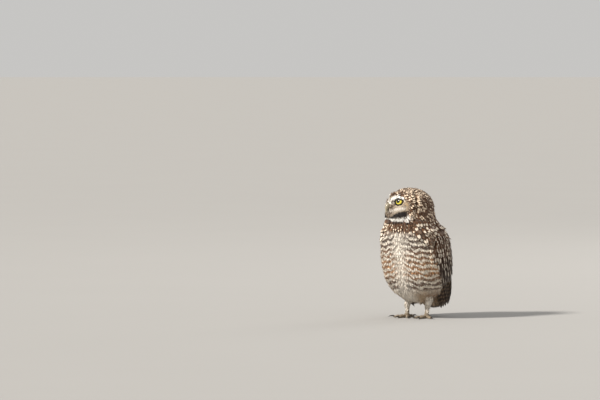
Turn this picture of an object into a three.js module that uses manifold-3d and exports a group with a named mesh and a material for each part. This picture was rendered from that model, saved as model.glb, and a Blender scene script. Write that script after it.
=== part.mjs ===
// A burrowing owl at life size, standing upright with its head turned to its own right.
// Millimetres, +Z up. The bird faces -Y, its left side is +X, and it stands on z = 0.
// Everything is still: each named mesh is one part of the body.

import * as THREE from "three";
import { mergeVertices } from "three/addons/utils/BufferGeometryUtils.js";
import Module from "manifold-3d";

const wasm = await Module();
wasm.setup();

// Driving dimensions
const GAP = 0.35; // left between parts that touch
const ROUNDNESS = 2.3; // exponent of the body's rounded sections
const HEAD_CENTRE = new THREE.Vector3(-1, -20, 200);
const HEAD_TURN = -35; // degrees about +Z, towards the bird's right
const HEAD_HALF_WIDTH = 41;
const HEAD_HALF_DEPTH = 42;
const HEAD_UP = 32.5; // centre of the head to the crown
const HEAD_DOWN = 80; // how far down the head would close if the neck did not cut it off
const NECK_TOP = 172;
const NECK_FOOT = 150;
const EYE_RADIUS = 9.2;
const EYE_OUT = 16.5; // middle of the face to the middle of an eye
const EYE_FORWARD = 24.5; // centre of the head to the centre of an eyeball
const EYE_HEIGHT = 8;
const EYE_SPLAY = 27; // degrees that each eye looks outwards
const EYE_OPENING = { width: 14.4, height: 11.2 };
const BILL_BASE = new THREE.Vector3(0, -34, 3.5); // in the head's own frame
const LEG_OUT = 20; // middle of the body to each leg
const LEG_BACK = 3;
const TARSUS_HEIGHT = 46;
const TOE_LENGTH = 25;
const CLAW_LENGTH = 10.5;
const VANE_THICKNESS = 0.7;
const SHINGLE_STEP = 1.05; // neighbouring feathers lie this far above one another
const TAIL_FEATHERS = 9;
const TAIL_LENGTH = 80;

const COLOURS = {
  umber: 0x5b4638,
  mottled: 0x967c6b,
  cream: 0xd6c6b4,
  white: 0xe6dccf,
  iris: 0xd8d23c,
  horn: 0xa6a184,
  slate: 0x8b8478,
  claw: 0x2b2520,
};

// Body sections by height: z, middle of the section in y, half width, half depth
const TORSO = [
  [31, 16, 14, 14],
  [38, 12.5, 30, 28],
  [50, 8, 44, 41],
  [62, 4, 50.5, 47.5],
  [75, 1, 54.5, 51],
  [90, -1.5, 57, 53],
  [112, -4, 58.5, 54.5],
  [132, -6, 57.5, 54],
  [148, -9, 55, 52.5],
  [160, -13, 50.5, 49],
];
const NECK = [
  [149, -9.3, 54.8, 52.3],
  [160, -13, 50.5, 49],
  [168, -17, 45.5, 45.5],
  [173, -19.5, 43.6, 44.4],
];
// The outer face of the folded wings
const WRAP = [
  [12, 54, 30, 25],
  [24, 47, 37, 31],
  [45, 31, 47, 42],
  [70, 15, 56, 51],
  [100, 3, 61.5, 57],
  [130, -4.5, 62, 58],
  [150, -9, 59, 56.5],
  [160, -13, 54.5, 53],
];

const rad = THREE.MathUtils.degToRad;
const vec = (x, y, z) => new THREE.Vector3(x, y, z);

// A small seeded generator, so that feathers vary and the model comes out the same each time
function seeded(seed) {
  let state = seed;
  return () => {
    state = (state * 1664525 + 1013904223) % 4294967296;
    return state / 4294967296;
  };
}

// Smooth values between the rows of a table whose first column is the height
function sectionAt(table, z) {
  const last = table.length - 1;
  if (z <= table[0][0]) return table[0].slice(1);
  if (z >= table[last][0]) return table[last].slice(1);
  let i = 0;
  while (table[i + 1][0] < z) i += 1;
  const before = table[Math.max(i - 1, 0)];
  const after = table[Math.min(i + 2, last)];
  const [low, high] = [table[i], table[i + 1]];
  const t = (z - low[0]) / (high[0] - low[0]);
  return [1, 2, 3].map((k) => {
    const inSlope = (high[k] - before[k]) / (high[0] - before[0]);
    const outSlope = (after[k] - low[k]) / (after[0] - low[0]);
    const span = high[0] - low[0];
    const [a, b] = [t * t * t, t * t];
    return (
      (2 * a - 3 * b + 1) * low[k] +
      (a - 2 * b + t) * span * inSlope +
      (3 * b - 2 * a) * high[k] +
      (a - b) * span * outSlope
    );
  });
}

// A point on a rounded section: angle 0 is the front, 90 the bird's left, 180 the back
function surfacePoint(table, z, angle, grow = 0) {
  const [middle, width, depth] = sectionAt(table, z);
  const power = 2 / ROUNDNESS;
  const s = Math.sin(rad(angle));
  const c = Math.cos(rad(angle));
  return vec(
    (width + grow) * Math.sign(s) * Math.abs(s) ** power,
    middle - (depth + grow) * Math.sign(c) * Math.abs(c) ** power,
    z,
  );
}

// The outward direction of the same surface
function surfaceNormal(table, z, angle) {
  const around = surfacePoint(table, z, angle + 2).sub(surfacePoint(table, z, angle - 2));
  const up = surfacePoint(table, z + 1.5, angle).sub(surfacePoint(table, z - 1.5, angle));
  return around.cross(up).normalize();
}

// Rings of points joined into one closed skin, with a point closing each end
function loft(rings) {
  const count = rings[0].length;
  const flat = [];
  const triangles = [];
  const middleOf = (ring) =>
    ring.reduce((sum, p) => sum.add(p), vec(0, 0, 0)).divideScalar(count);
  for (const ring of rings) for (const p of ring) flat.push(p.x, p.y, p.z);
  for (let i = 0; i + 1 < rings.length; i += 1) {
    for (let j = 0; j < count; j += 1) {
      const next = (j + 1) % count;
      const [a, b] = [i * count + j, i * count + next];
      triangles.push(a, b, b + count, a, b + count, a + count);
    }
  }
  const ends = [middleOf(rings[0]), middleOf(rings[rings.length - 1])];
  for (const p of ends) flat.push(p.x, p.y, p.z);
  const bottom = rings.length * count;
  const top = bottom + 1;
  const lastRow = (rings.length - 1) * count;
  for (let j = 0; j < count; j += 1) {
    const next = (j + 1) % count;
    triangles.push(bottom, next, j);
    triangles.push(top, lastRow + j, lastRow + next);
  }
  return geometryOf(flat, triangles);
}

function geometryOf(flat, triangles) {
  const geometry = new THREE.BufferGeometry();
  geometry.setAttribute("position", new THREE.Float32BufferAttribute(flat, 3));
  geometry.setIndex(triangles);
  return geometry;
}

// A geometry as a solid that can be joined and cut
function solid(geometry) {
  const bare = geometry.clone();
  bare.deleteAttribute("normal");
  bare.deleteAttribute("uv");
  const merged = mergeVertices(bare, 1e-4);
  const made = new wasm.Manifold(
    new wasm.Mesh({
      numProp: 3,
      vertProperties: new Float32Array(merged.attributes.position.array),
      triVerts: new Uint32Array(merged.index.array),
    }),
  );
  return made.volume() < 0 ? turned(merged) : made;
}

// The same skin with its faces the other way round
function turned(geometry) {
  const triVerts = new Uint32Array(geometry.index.array);
  for (let i = 0; i < triVerts.length; i += 3) {
    [triVerts[i + 1], triVerts[i + 2]] = [triVerts[i + 2], triVerts[i + 1]];
  }
  const vertProperties = new Float32Array(geometry.attributes.position.array);
  return new wasm.Manifold(new wasm.Mesh({ numProp: 3, vertProperties, triVerts }));
}

const join = (solids) => solids.reduce((sum, next) => sum.add(next));

const largest = (made) =>
  made.decompose().reduce((best, piece) => (piece.volume() > best.volume() ? piece : best));

function moved(geometry, position, rotation = [0, 0, 0], scale = [1, 1, 1]) {
  const matrix = new THREE.Matrix4().compose(
    position,
    new THREE.Quaternion().setFromEuler(new THREE.Euler(...rotation.map(rad), "ZYX")),
    vec(...scale),
  );
  return geometry.clone().applyMatrix4(matrix);
}

const box = (low, high) =>
  solid(
    moved(
      new THREE.BoxGeometry(high[0] - low[0], high[1] - low[1], high[2] - low[2]),
      vec((low[0] + high[0]) / 2, (low[1] + high[1]) / 2, (low[2] + high[2]) / 2),
    ),
  );

// A body stretch between two heights of a section table
function bodyLoft(table, low, high, rows, around, grow = 0) {
  const rings = [];
  for (let i = 0; i <= rows; i += 1) {
    const z = low + ((high - low) * i) / rows;
    const ring = [];
    for (let j = 0; j < around; j += 1) ring.push(surfacePoint(table, z, (360 * j) / around, grow));
    rings.push(ring);
  }
  if (grow > 0) {
    rings[0].forEach((p) => (p.z -= grow));
    rings[rows].forEach((p) => (p.z += grow));
  }
  return solid(loft(rings));
}

// A limb along a curve: each stop is a centre with a half width and a half depth
function limb(stops, sides, grow = 0, steps = 10) {
  const centres = new THREE.CatmullRomCurve3(stops.map((s) => s.at));
  const rings = [];
  for (let i = 0; i <= steps; i += 1) {
    const t = i / steps;
    const centre = centres.getPoint(t);
    const along = centres.getTangent(t);
    const k = Math.min(Math.floor(t * (stops.length - 1)), stops.length - 2);
    const mix = t * (stops.length - 1) - k;
    const size = (name) => stops[k][name] * (1 - mix) + stops[k + 1][name] * mix + grow;
    const across = vec(1, 0, 0).sub(along.clone().multiplyScalar(along.x)).normalize();
    const out = along.clone().cross(across);
    const ring = [];
    for (let j = 0; j < sides; j += 1) {
      const angle = (2 * Math.PI * (j + 0.5)) / sides;
      ring.push(
        centre
          .clone()
          .addScaledVector(across, size("wide") * Math.cos(angle))
          .addScaledVector(out, size("deep") * Math.sin(angle)),
      );
    }
    rings.push(ring);
  }
  if (grow > 0) {
    const ends = [centres.getTangent(0), centres.getTangent(1)];
    rings[0].forEach((p) => p.addScaledVector(ends[0], -grow));
    rings[steps].forEach((p) => p.addScaledVector(ends[1], grow));
  }
  return solid(loft(rings));
}

// One feather: a thin vane on a path that gives a point, the outward direction and the tilt.
// Both faces are split into triangles alike.
function vane(path, width, steps = 4, thickness = VANE_THICKNESS) {
  const shape = [0.72, 1, 1, 0.94, 0.78, 0.34];
  const rings = [];
  for (let i = 0; i <= steps; i += 1) {
    const t = i / steps;
    const { point, normal } = path(t);
    const ahead = path(Math.min(t + 0.02, 1)).point.clone();
    const along = ahead.sub(path(Math.max(t - 0.02, 0)).point).normalize();
    const across = normal.clone().cross(along).normalize();
    const out = along.clone().cross(across).normalize();
    const at = (t * (shape.length - 1)) | 0;
    const mix = t * (shape.length - 1) - at;
    const share = shape[at] * (1 - mix) + (shape[at + 1] ?? shape[at]) * mix;
    const half = (width * share) / 2;
    const thick = thickness * (1 - 0.3 * t);
    const corner = (side, level) =>
      point.clone().addScaledVector(across, side * half).addScaledVector(out, (level * thick) / 2);
    rings.push([corner(-1, 1), corner(1, 1), corner(1, -1), corner(-1, -1)]);
  }
  const flat = rings.flat().flatMap((p) => [p.x, p.y, p.z]);
  const triangles = [];
  for (let i = 0; i < steps; i += 1) {
    const [a, b] = [i * 4, (i + 1) * 4];
    triangles.push(a, b + 1, a + 1, a, b, b + 1);
    triangles.push(a + 2, b + 2, a + 3, a + 3, b + 2, b + 3);
    triangles.push(a + 1, b + 1, b + 2, a + 1, b + 2, a + 2);
    triangles.push(a, b + 3, b, a, a + 3, b + 3);
  }
  const end = steps * 4;
  triangles.push(0, 1, 2, 0, 2, 3);
  triangles.push(end, end + 2, end + 1, end, end + 3, end + 2);
  return solid(geometryOf(flat, triangles));
}

// A feather laid on the folded wing, from one height and angle to another
function wingVane(side, from, to, width, lift, sweep = 1) {
  const path = (t) => {
    const z = from[0] + (to[0] - from[0]) * t;
    const angle = from[1] + (to[1] - from[1]) * t ** sweep;
    const height = lift[0] + (lift[1] - lift[0]) * t;
    const normal = surfaceNormal(WRAP, z, angle);
    const point = surfacePoint(WRAP, z, angle).addScaledVector(normal, height);
    point.x *= side;
    normal.x *= side;
    return { point, normal };
  };
  return vane(path, width);
}

// The arm and hand under the feathers: a curved pad between two faces of the wrap
function wingPad(side) {
  const rows = 6;
  const columns = 6;
  const [low, high] = [58, 149];
  const faceAt = (depth) => {
    const grid = [];
    for (let i = 0; i <= rows; i += 1) {
      const share = i / rows;
      const front = 80 - 9 * Math.sin(Math.PI * share);
      const back = 172 - 14 * share ** 2;
      for (let j = 0; j <= columns; j += 1) {
        const angle = front + ((back - front) * j) / columns;
        const shoulder = 10 * share * (1 - j / columns) ** 2;
        const z = low + (high - low) * share - shoulder;
        const p = surfacePoint(WRAP, z, angle, depth);
        p.x *= side;
        grid.push(p);
      }
    }
    return grid;
  };
  const outer = faceAt(-1.6);
  const inner = faceAt(-6.5);
  const width = columns + 1;
  const flat = [...outer, ...inner].flatMap((p) => [p.x, p.y, p.z]);
  const under = outer.length;
  const triangles = [];
  const quad = (a, b, c, d) => triangles.push(a, b, c, a, c, d);
  for (let i = 0; i < rows; i += 1) {
    for (let j = 0; j < columns; j += 1) {
      const a = i * width + j;
      quad(a, a + 1, a + 1 + width, a + width);
      quad(under + a, under + a + width, under + a + 1 + width, under + a + 1);
    }
  }
  for (let j = 0; j < columns; j += 1) {
    const top = rows * width + j;
    quad(under + j, under + j + 1, j + 1, j);
    quad(top, top + 1, under + top + 1, under + top);
  }
  for (let i = 0; i < rows; i += 1) {
    const a = i * width;
    const b = a + columns;
    quad(a, a + width, under + a + width, under + a);
    quad(under + b, under + b + width, b + width, b);
  }
  return solid(geometryOf(flat, triangles));
}

// A tier of wing feathers. Each row steps evenly from its first feather to its last.
function wingTier(side, tier, random) {
  const vanes = [];
  for (let i = 0; i < tier.count; i += 1) {
    const t = tier.count > 1 ? i / (tier.count - 1) : 0;
    const between = (pair) => pair[0] + (pair[1] - pair[0]) * t;
    const vary = (amount) => (random() - 0.5) * 2 * amount;
    const from = [between(tier.rootHeight), between(tier.rootAngle)];
    const to = [
      between(tier.tipHeight) + vary(tier.spread),
      between(tier.tipAngle) + vary(tier.spread),
    ];
    const step = (i % 2) * SHINGLE_STEP;
    const lift = [tier.lift[0] + step * 0.8, tier.lift[1] + step];
    vanes.push(wingVane(side, from, to, between(tier.width), lift, tier.sweep));
  }
  return vanes;
}

// The tiers, from the long flight feathers outwards
const WING_TIERS = [
  {
    name: "primaries", count: 6, width: [12, 14], lift: [-3.8, -1.2], sweep: 1.3, spread: 0.6,
    rootHeight: [98, 88], rootAngle: [71, 100], tipHeight: [17, 31], tipAngle: [76, 152],
  },
  {
    name: "secondaries", count: 6, width: [17, 18], lift: [-3.6, 0], sweep: 1.2, spread: 0.8,
    rootHeight: [98, 112], rootAngle: [100, 158], tipHeight: [38, 58], tipAngle: [138, 174],
  },
  {
    name: "greater_coverts", count: 7, width: [19, 20], lift: [-3.4, 1.3], sweep: 1.1, spread: 0.8,
    rootHeight: [118, 122], rootAngle: [76, 160], tipHeight: [68, 84], tipAngle: [74, 172],
  },
  {
    name: "median_coverts", count: 7, width: [17, 18], lift: [-3, 2.6], sweep: 1, spread: 0.8,
    rootHeight: [136, 145], rootAngle: [82, 160], tipHeight: [100, 109], tipAngle: [76, 170],
  },
];

// Simple spaces that the wings keep clear of
const tailRoom = (grow) =>
  limb(
    [
      { at: vec(0, 30, 74), wide: 17, deep: 7 },
      { at: vec(0, 46, 50), wide: 19, deep: 7 },
      { at: vec(0, 62, 16 - 2), wide: 19, deep: 6 },
    ],
    16,
    grow,
    6,
  );

function buildWing(side, torsoRoom) {
  const random = seeded(side > 0 ? 11 : 23);
  const pieces = [wingPad(side)];
  for (const tier of WING_TIERS) pieces.push(...wingTier(side, tier, random));
  const otherSide = side > 0 ? box([-90, -90, 0], [0.6, 110, 260]) : box([-0.6, -90, 0], [90, 110, 260]);
  const made = join(pieces)
    .subtract(torsoRoom)
    .subtract(otherSide)
    .subtract(tailRoom(GAP + 1.2));
  return largest(made);
}

// The tail: a short root under the skin and a fan of feathers in two layers
function buildTail(torsoRoom) {
  const root = limb(
    [
      { at: vec(0, 36, 64), wide: 11, deep: 4.6 },
      { at: vec(0, 44, 51), wide: 13, deep: 3.2 },
    ],
    14,
    0,
    3,
  );
  const pieces = [root];
  for (let i = 0; i < TAIL_FEATHERS; i += 1) {
    const share = i / (TAIL_FEATHERS - 1) - 0.5; // -0.5 at the bird's right, 0.5 at its left
    const inside = Math.abs(share) * 2;
    const lift = 1.7 - 3.6 * inside;
    const start = vec(share * 15, 40 - 0.3 * lift, 58);
    const length = TAIL_LENGTH * (0.66 - 0.05 * inside);
    const end = vec(share * 25, 61.5 + lift * 0.75, start.z - length * 0.86);
    const normal = vec(share * 0.5, 0.94, 0.34).normalize();
    const path = (t) => ({
      point: start.clone().lerp(end, t).addScaledVector(normal, -1.6 * Math.sin(Math.PI * t) + lift * 0.35),
      normal,
    });
    pieces.push(vane(path, 12.5 - 2 * inside));
  }
  return largest(join(pieces).subtract(torsoRoom));
}

// The head in its own frame: centre at the origin, face towards -Y
function headRadius(azimuth, elevation) {
  const side = Math.sin(azimuth) * Math.cos(elevation);
  const front = Math.cos(azimuth) * Math.cos(elevation);
  const up = Math.sin(elevation);
  const tall = up > 0 ? HEAD_UP : HEAD_DOWN;
  const n = 2.25 - 0.25 * THREE.MathUtils.smoothstep(elevation, rad(-15), rad(20)); // rounder above
  const sum =
    Math.abs(side / HEAD_HALF_WIDTH) ** n +
    Math.abs(front / HEAD_HALF_DEPTH) ** n +
    Math.abs(up / tall) ** n;
  let radius = sum ** (-1 / n);
  const bump = (a, e, wideA, wideE, height) =>
    height *
    Math.exp(-(((Math.abs(azimuth) - rad(a)) / rad(wideA)) ** 2)) *
    Math.exp(-(((elevation - rad(e)) / rad(wideE)) ** 2));
  if (Math.abs(azimuth) < Math.PI * 0.6) {
    radius += bump(34, 13, 14, 12, -5.2); // eye socket
    radius += bump(30, 27, 22, 8, 3.2); // brow ridge
    radius += bump(0, 10, 8, 14, 2.2); // ridge between the eyes
    radius += bump(40, -18, 18, 13, 1.8); // cheek
    radius += bump(66, 4, 8, 34, 1.5); // rim of the facial disc
    radius += bump(76, 4, 7, 34, -1.1); // fold behind the rim
  }
  // The feathers of the nape and throat stand out where the head meets the neck
  const ruff = 3 + 1.6 * (1 - Math.cos(azimuth));
  radius += ruff * Math.exp(-(((elevation + rad(35)) / rad(20)) ** 2));
  return radius;
}

function headSkin() {
  const around = 36;
  const rows = 21;
  const rings = [];
  for (let i = 1; i < rows; i += 1) {
    const elevation = -Math.PI / 2 + (Math.PI * i) / rows;
    const ring = [];
    for (let j = 0; j < around; j += 1) {
      const azimuth = -Math.PI + (2 * Math.PI * j) / around;
      const r = headRadius(azimuth, elevation);
      ring.push(
        vec(
          r * Math.sin(azimuth) * Math.cos(elevation),
          -r * Math.cos(azimuth) * Math.cos(elevation),
          r * Math.sin(elevation),
        ),
      );
    }
    rings.push(ring);
  }
  return loft(rings);
}

const headFrame = new THREE.Matrix4().compose(
  HEAD_CENTRE,
  new THREE.Quaternion().setFromEuler(new THREE.Euler(0, 0, rad(HEAD_TURN))),
  vec(1, 1, 1),
);
const inHead = (geometry) => solid(geometry.clone().applyMatrix4(headFrame));

const eyeCentre = (side) => vec(side * EYE_OUT, -EYE_FORWARD, EYE_HEIGHT);

const eyeBall = (side, grow = 0) =>
  inHead(
    moved(
      new THREE.SphereGeometry(EYE_RADIUS + grow, 18, 12),
      eyeCentre(side),
      [90, 0, side * EYE_SPLAY],
    ),
  );

// The gap between the lids, as a prism along the direction that the eye looks in
function eyeOpening(side) {
  const outline = new THREE.Shape();
  const points = 16;
  for (let i = 0; i < points; i += 1) {
    const angle = (2 * Math.PI * i) / points;
    const x = (EYE_OPENING.width / 2) * Math.cos(angle);
    const rise = Math.sin(angle) > 0 ? 0.4 : 0.6; // the upper lid sits lower, under the brow
    const y = EYE_OPENING.height * rise * Math.sin(angle);
    if (i === 0) outline.moveTo(x, y);
    else outline.lineTo(x, y);
  }
  outline.closePath();
  const prism = new THREE.ExtrudeGeometry(outline, { depth: 14, bevelEnabled: false });
  const facing = moved(prism, vec(0, 0, 0), [90, 0, 0]);
  return inHead(moved(facing, eyeCentre(side), [0, 0, side * EYE_SPLAY]));
}

// The hooked upper bill, from the cere to the tip
const UPPER_BILL = [
  { at: [0, 0, 0], wide: 5.4, deep: 6.2 },
  { at: [0, -4.6, -0.6], wide: 5, deep: 5.7 },
  { at: [0, -8.6, -2.9], wide: 4, deep: 4.9 },
  { at: [0, -11.2, -7], wide: 2.7, deep: 3.4 },
  { at: [0, -11.4, -11.5], wide: 1.2, deep: 1.6 },
  { at: [0, -10.6, -14], wide: 0.4, deep: 0.5 },
];
const LOWER_BILL = [
  { at: [0, 0, -8.4], wide: 4.2, deep: 2 },
  { at: [0, -3.4, -9.4], wide: 3.6, deep: 1.9 },
  { at: [0, -6.4, -10.8], wide: 2.3, deep: 1.3 },
  { at: [0, -7.8, -11.8], wide: 0.9, deep: 0.6 },
];
const inHeadPoint = (p) => vec(...p).add(BILL_BASE);

function billGeometry(stops, grow) {
  const placed = stops.map((s) => ({ at: inHeadPoint(s.at), wide: s.wide, deep: s.deep }));
  const made = limb(placed, 12, grow, 8);
  return made.transform(headFrame.toArray());
}

// The upper bill with the swollen cere on each side
function upperBillForm(grow) {
  const swelling = (side) =>
    inHead(moved(new THREE.SphereGeometry(2.5 + grow, 10, 7), inHeadPoint([side * 3.4, -5, 2])));
  return billGeometry(UPPER_BILL, grow).add(swelling(-1)).add(swelling(1));
}

function buildUpperBill() {
  let made = upperBillForm(0);
  for (const side of [-1, 1]) {
    const nostril = inHeadPoint([side * 5.2, -6.4, 2]);
    made = made.subtract(inHead(moved(new THREE.SphereGeometry(1, 8, 6), nostril, [0, 0, 0], [1, 1, 1.3])));
  }
  return largest(made.subtract(billGeometry(LOWER_BILL, GAP)));
}

function buildHead(upperBillRoom, lowerBillRoom) {
  let made = inHead(headSkin());
  for (const side of [-1, 1]) {
    made = made.add(eyeBall(side, 1.5));
    made = made.subtract(eyeBall(side, GAP)).subtract(eyeOpening(side));
  }
  const below = box([-90, -90, 100], [90, 90, NECK_TOP + GAP]);
  return largest(made.subtract(upperBillRoom).subtract(lowerBillRoom).subtract(below));
}

// Legs
const heel = (side) => vec(side * (LEG_OUT + 1), LEG_BACK + 9, TARSUS_HEIGHT);
const ankle = (side) => vec(side * LEG_OUT, LEG_BACK, 4.5);

const thigh = (side, grow = 0) =>
  limb(
    [
      { at: vec(side * 22, -6, 66), wide: 17, deep: 21 },
      { at: vec(side * 22, 1, 50), wide: 13.5, deep: 15.5 },
      { at: heel(side).add(vec(0, -2.5, -9)), wide: 7.4, deep: 8.4 },
      { at: heel(side).add(vec(0, -5, -21)), wide: 4.6, deep: 5 },
    ],
    18,
    grow,
    9,
  );

const tarsus = (side) =>
  limb(
    [
      { at: heel(side).add(vec(0, -3, -14)), wide: 3.3, deep: 3.7 },
      { at: heel(side).lerp(ankle(side), 0.6), wide: 3, deep: 3.4 },
      { at: ankle(side), wide: 3.6, deep: 3.8 },
    ],
    12,
    0,
    7,
  );

// The ball of the foot, with a flat underside on the floor
function footGeometry(side, grow = 0) {
  const radius = 5.4 + grow;
  const height = 7.4 + grow;
  const profile = [
    [0, 0],
    [radius - 0.7, 0],
    [radius, 1.4],
    [radius - 0.2, height - 3],
    [radius - 2, height - 0.8],
    [0, height],
  ].map(([r, z]) => new THREE.Vector2(r, z));
  const made = new THREE.LatheGeometry(profile, 14);
  const at = ankle(side).setZ(grow > 0 ? -0.01 : 0);
  return solid(moved(made, at, [90, 0, 0]));
}

// Toes: turn from straight ahead, length, and how far up the claw is carried
const TOES = [
  { name: "inner", turn: 33, length: 0.92 },
  { name: "middle", turn: -3, length: 1.05 },
  { name: "outer", turn: -50, length: 0.88 },
  { name: "hind", turn: 168, length: 0.62 },
];

function alongToe(side, toe) {
  const turn = rad(-90 - side * toe.turn);
  const ahead = vec(Math.cos(turn), Math.sin(turn), 0);
  const start = ankle(side).setZ(0);
  return (distance, height) => start.clone().addScaledVector(ahead, distance).setZ(height);
}

// A toe with two pads, flat where it bears on the floor
function toeSolid(side, toe, grow = 0) {
  const place = alongToe(side, toe);
  const reach = TOE_LENGTH * toe.length;
  const stops = 6;
  const rings = [];
  const across = place(1, 0).sub(place(0, 0)).cross(vec(0, 0, 1));
  for (let i = 0; i <= stops; i += 1) {
    const t = i / stops;
    const distance = 2 + reach * t;
    const swell = 0.35 * Math.cos(t * Math.PI * 4);
    const half = 3.1 - 0.75 * t + swell * 0.6 - (i === stops ? 0.7 : 0);
    const height = 5.6 - 1.5 * t + swell * 0.7 - (i === stops ? 1 : 0);
    const rim = [
      [-0.55, 0],
      [0.55, 0],
      [1, 0.32],
      [0.86, 0.74],
      [0.4, 1],
      [-0.4, 1],
      [-0.86, 0.74],
      [-1, 0.32],
    ];
    const low = grow > 0 ? -grow : 0;
    rings.push(
      rim.map(([w, h]) =>
        place(distance, low + h * (height + 2 * grow)).addScaledVector(across, w * (half + grow)),
      ),
    );
  }
  return solid(loft(rings));
}

// A curved claw: it leaves the toe level and comes down almost to the floor
function clawSolid(side, toe) {
  const place = alongToe(side, toe);
  const reach = 2 + TOE_LENGTH * toe.length + GAP;
  const length = CLAW_LENGTH * (0.75 + 0.25 * toe.length);
  const across = place(1, 0).sub(place(0, 0)).cross(vec(0, 0, 1));
  const rings = [];
  const steps = 5;
  for (let i = 0; i <= steps; i += 1) {
    const t = i / steps;
    const half = 1.5 * (1 - t) ** 0.8 + 0.22;
    const middle = 2.3 + 1.7 * Math.sin(t * 2.1) * (1 - t * 0.25) - 2.4 * t * t;
    const ring = [];
    for (let j = 0; j < 6; j += 1) {
      const angle = (2 * Math.PI * (j + 0.5)) / 6;
      const point = place(reach + length * t + half * 0.25 * Math.sin(angle) * t, middle + half * Math.sin(angle));
      ring.push(point.addScaledVector(across, half * Math.cos(angle)));
    }
    rings.push(ring);
  }
  return solid(loft(rings));
}

// The group, with each part as one named mesh
const owl = new THREE.Group();

function addPart(name, made, colour, roughness = 0.85) {
  const mesh = made.getMesh();
  const flat = [];
  for (let i = 0; i < mesh.vertProperties.length; i += mesh.numProp) {
    flat.push(mesh.vertProperties[i], mesh.vertProperties[i + 1], mesh.vertProperties[i + 2]);
  }
  const geometry = geometryOf(flat, Array.from(mesh.triVerts));
  geometry.computeVertexNormals();
  const material = new THREE.MeshStandardMaterial({ color: colour, roughness, metalness: 0 });
  const part = new THREE.Mesh(geometry, material);
  part.name = name;
  owl.add(part);
}

const torso = bodyLoft(TORSO, 31, NECK_FOOT, 15, 34);
const torsoRoom = bodyLoft(TORSO, 31, NECK_FOOT, 15, 34, GAP);
const wingRoom = bodyLoft(TORSO, 31, NECK_FOOT, 10, 24, GAP + 0.6);
const neck = bodyLoft(NECK, NECK_FOOT + GAP, NECK_TOP, 5, 36);
addPart("torso", torso, COLOURS.cream);
addPart("neck", neck, COLOURS.mottled);

const upperBill = buildUpperBill();
const lowerBill = billGeometry(LOWER_BILL, 0);
addPart("head", buildHead(upperBillForm(GAP), billGeometry(LOWER_BILL, GAP)), COLOURS.mottled);
addPart("bill_upper", upperBill, COLOURS.horn, 0.45);
addPart("bill_lower", lowerBill, COLOURS.horn, 0.45);

addPart("tail", buildTail(torsoRoom), COLOURS.umber);
for (const [name, side] of [["left", 1], ["right", -1]]) {
  addPart("eye_" + name, eyeBall(side), COLOURS.iris, 0.08);
  addPart("wing_" + name, buildWing(side, wingRoom), COLOURS.umber);
  const foot = footGeometry(side);
  const footRoom = footGeometry(side, GAP);
  addPart("thigh_" + name, largest(thigh(side).subtract(torsoRoom)), COLOURS.white);
  addPart("tarsus_" + name, largest(tarsus(side).subtract(thigh(side, GAP)).subtract(footRoom)), COLOURS.slate);
  addPart("foot_" + name, foot, COLOURS.slate);
  let taken = footRoom;
  for (const toe of TOES) {
    addPart("toe_" + name + "_" + toe.name, largest(toeSolid(side, toe).subtract(taken)), COLOURS.slate);
    taken = taken.add(toeSolid(side, toe, GAP + 0.1));
    addPart("claw_" + name + "_" + toe.name, clawSolid(side, toe), COLOURS.claw, 0.3);
  }
}

// The origin is on the floor, below the middle of the whole bird
const extent = new THREE.Box3().setFromObject(owl);
const middle = extent.getCenter(vec(0, 0, 0));
for (const part of owl.children) part.position.set(-middle.x, -middle.y, 0);

export default owl;
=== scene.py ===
"""A burrowing owl at life size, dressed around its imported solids.

Sizes of the bird are in millimetres in the bird's own frame: it faces -Y, its left side
is +X, it stands on z = 0 and its legs stand either side of x = 0. BirdFrame carries these
places to the scene, in metres.
"""

from __future__ import annotations

import logging
from dataclasses import dataclass, field, replace
from enum import Enum
from typing import Callable

import bpy
import numpy as np
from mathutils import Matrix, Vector


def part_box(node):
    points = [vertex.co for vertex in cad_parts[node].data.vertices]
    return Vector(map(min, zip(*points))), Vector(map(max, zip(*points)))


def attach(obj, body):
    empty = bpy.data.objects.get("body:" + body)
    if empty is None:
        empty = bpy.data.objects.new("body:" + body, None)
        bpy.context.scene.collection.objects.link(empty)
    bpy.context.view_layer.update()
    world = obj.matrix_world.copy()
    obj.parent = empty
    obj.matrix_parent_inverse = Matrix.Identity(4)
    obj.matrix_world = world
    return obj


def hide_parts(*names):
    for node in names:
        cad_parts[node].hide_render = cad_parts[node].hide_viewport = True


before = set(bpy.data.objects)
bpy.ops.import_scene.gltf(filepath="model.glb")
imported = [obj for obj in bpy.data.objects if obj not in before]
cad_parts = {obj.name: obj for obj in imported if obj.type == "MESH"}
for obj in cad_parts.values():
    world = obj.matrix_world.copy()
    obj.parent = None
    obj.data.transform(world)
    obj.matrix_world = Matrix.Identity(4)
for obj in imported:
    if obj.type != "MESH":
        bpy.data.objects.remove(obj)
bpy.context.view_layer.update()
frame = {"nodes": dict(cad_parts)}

LOG = logging.getLogger("owl")
MM = 0.001
ROOT_BODY = "root"
Array = np.ndarray
Pair = tuple[float, float]
Triple = tuple[float, float, float]
Piece = bpy.types.Object
Material = bpy.types.Material
Socket = bpy.types.NodeSocket
Tree = bpy.types.NodeTree


class Side(Enum):
    """The bird's own left and right; the value is the sign of x."""

    LEFT = 1
    RIGHT = -1

    @property
    def label(self) -> str:
        """The word used in names of pieces."""
        return self.name.lower()


def srgb(red: float, green: float, blue: float) -> Triple:
    """A linear colour from 0 to 255 display values."""
    values = (np.array([red, green, blue]) / 255.0) ** 2.2
    return tuple(float(v) for v in values)


BRIGHT = srgb(250, 247, 241)
WHITE = srgb(244, 236, 224)
CREAM = srgb(230, 213, 188)
BUFF = srgb(196, 168, 132)
OCHRE = srgb(178, 124, 72)
BROWN = srgb(116, 82, 57)
UMBER = srgb(82, 57, 40)
DARK = srgb(44, 31, 24)
GREY_BUFF = srgb(168, 150, 127)
HAIR_BROWN = srgb(128, 97, 74)
BLACK_BROWN = srgb(30, 20, 15)


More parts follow.
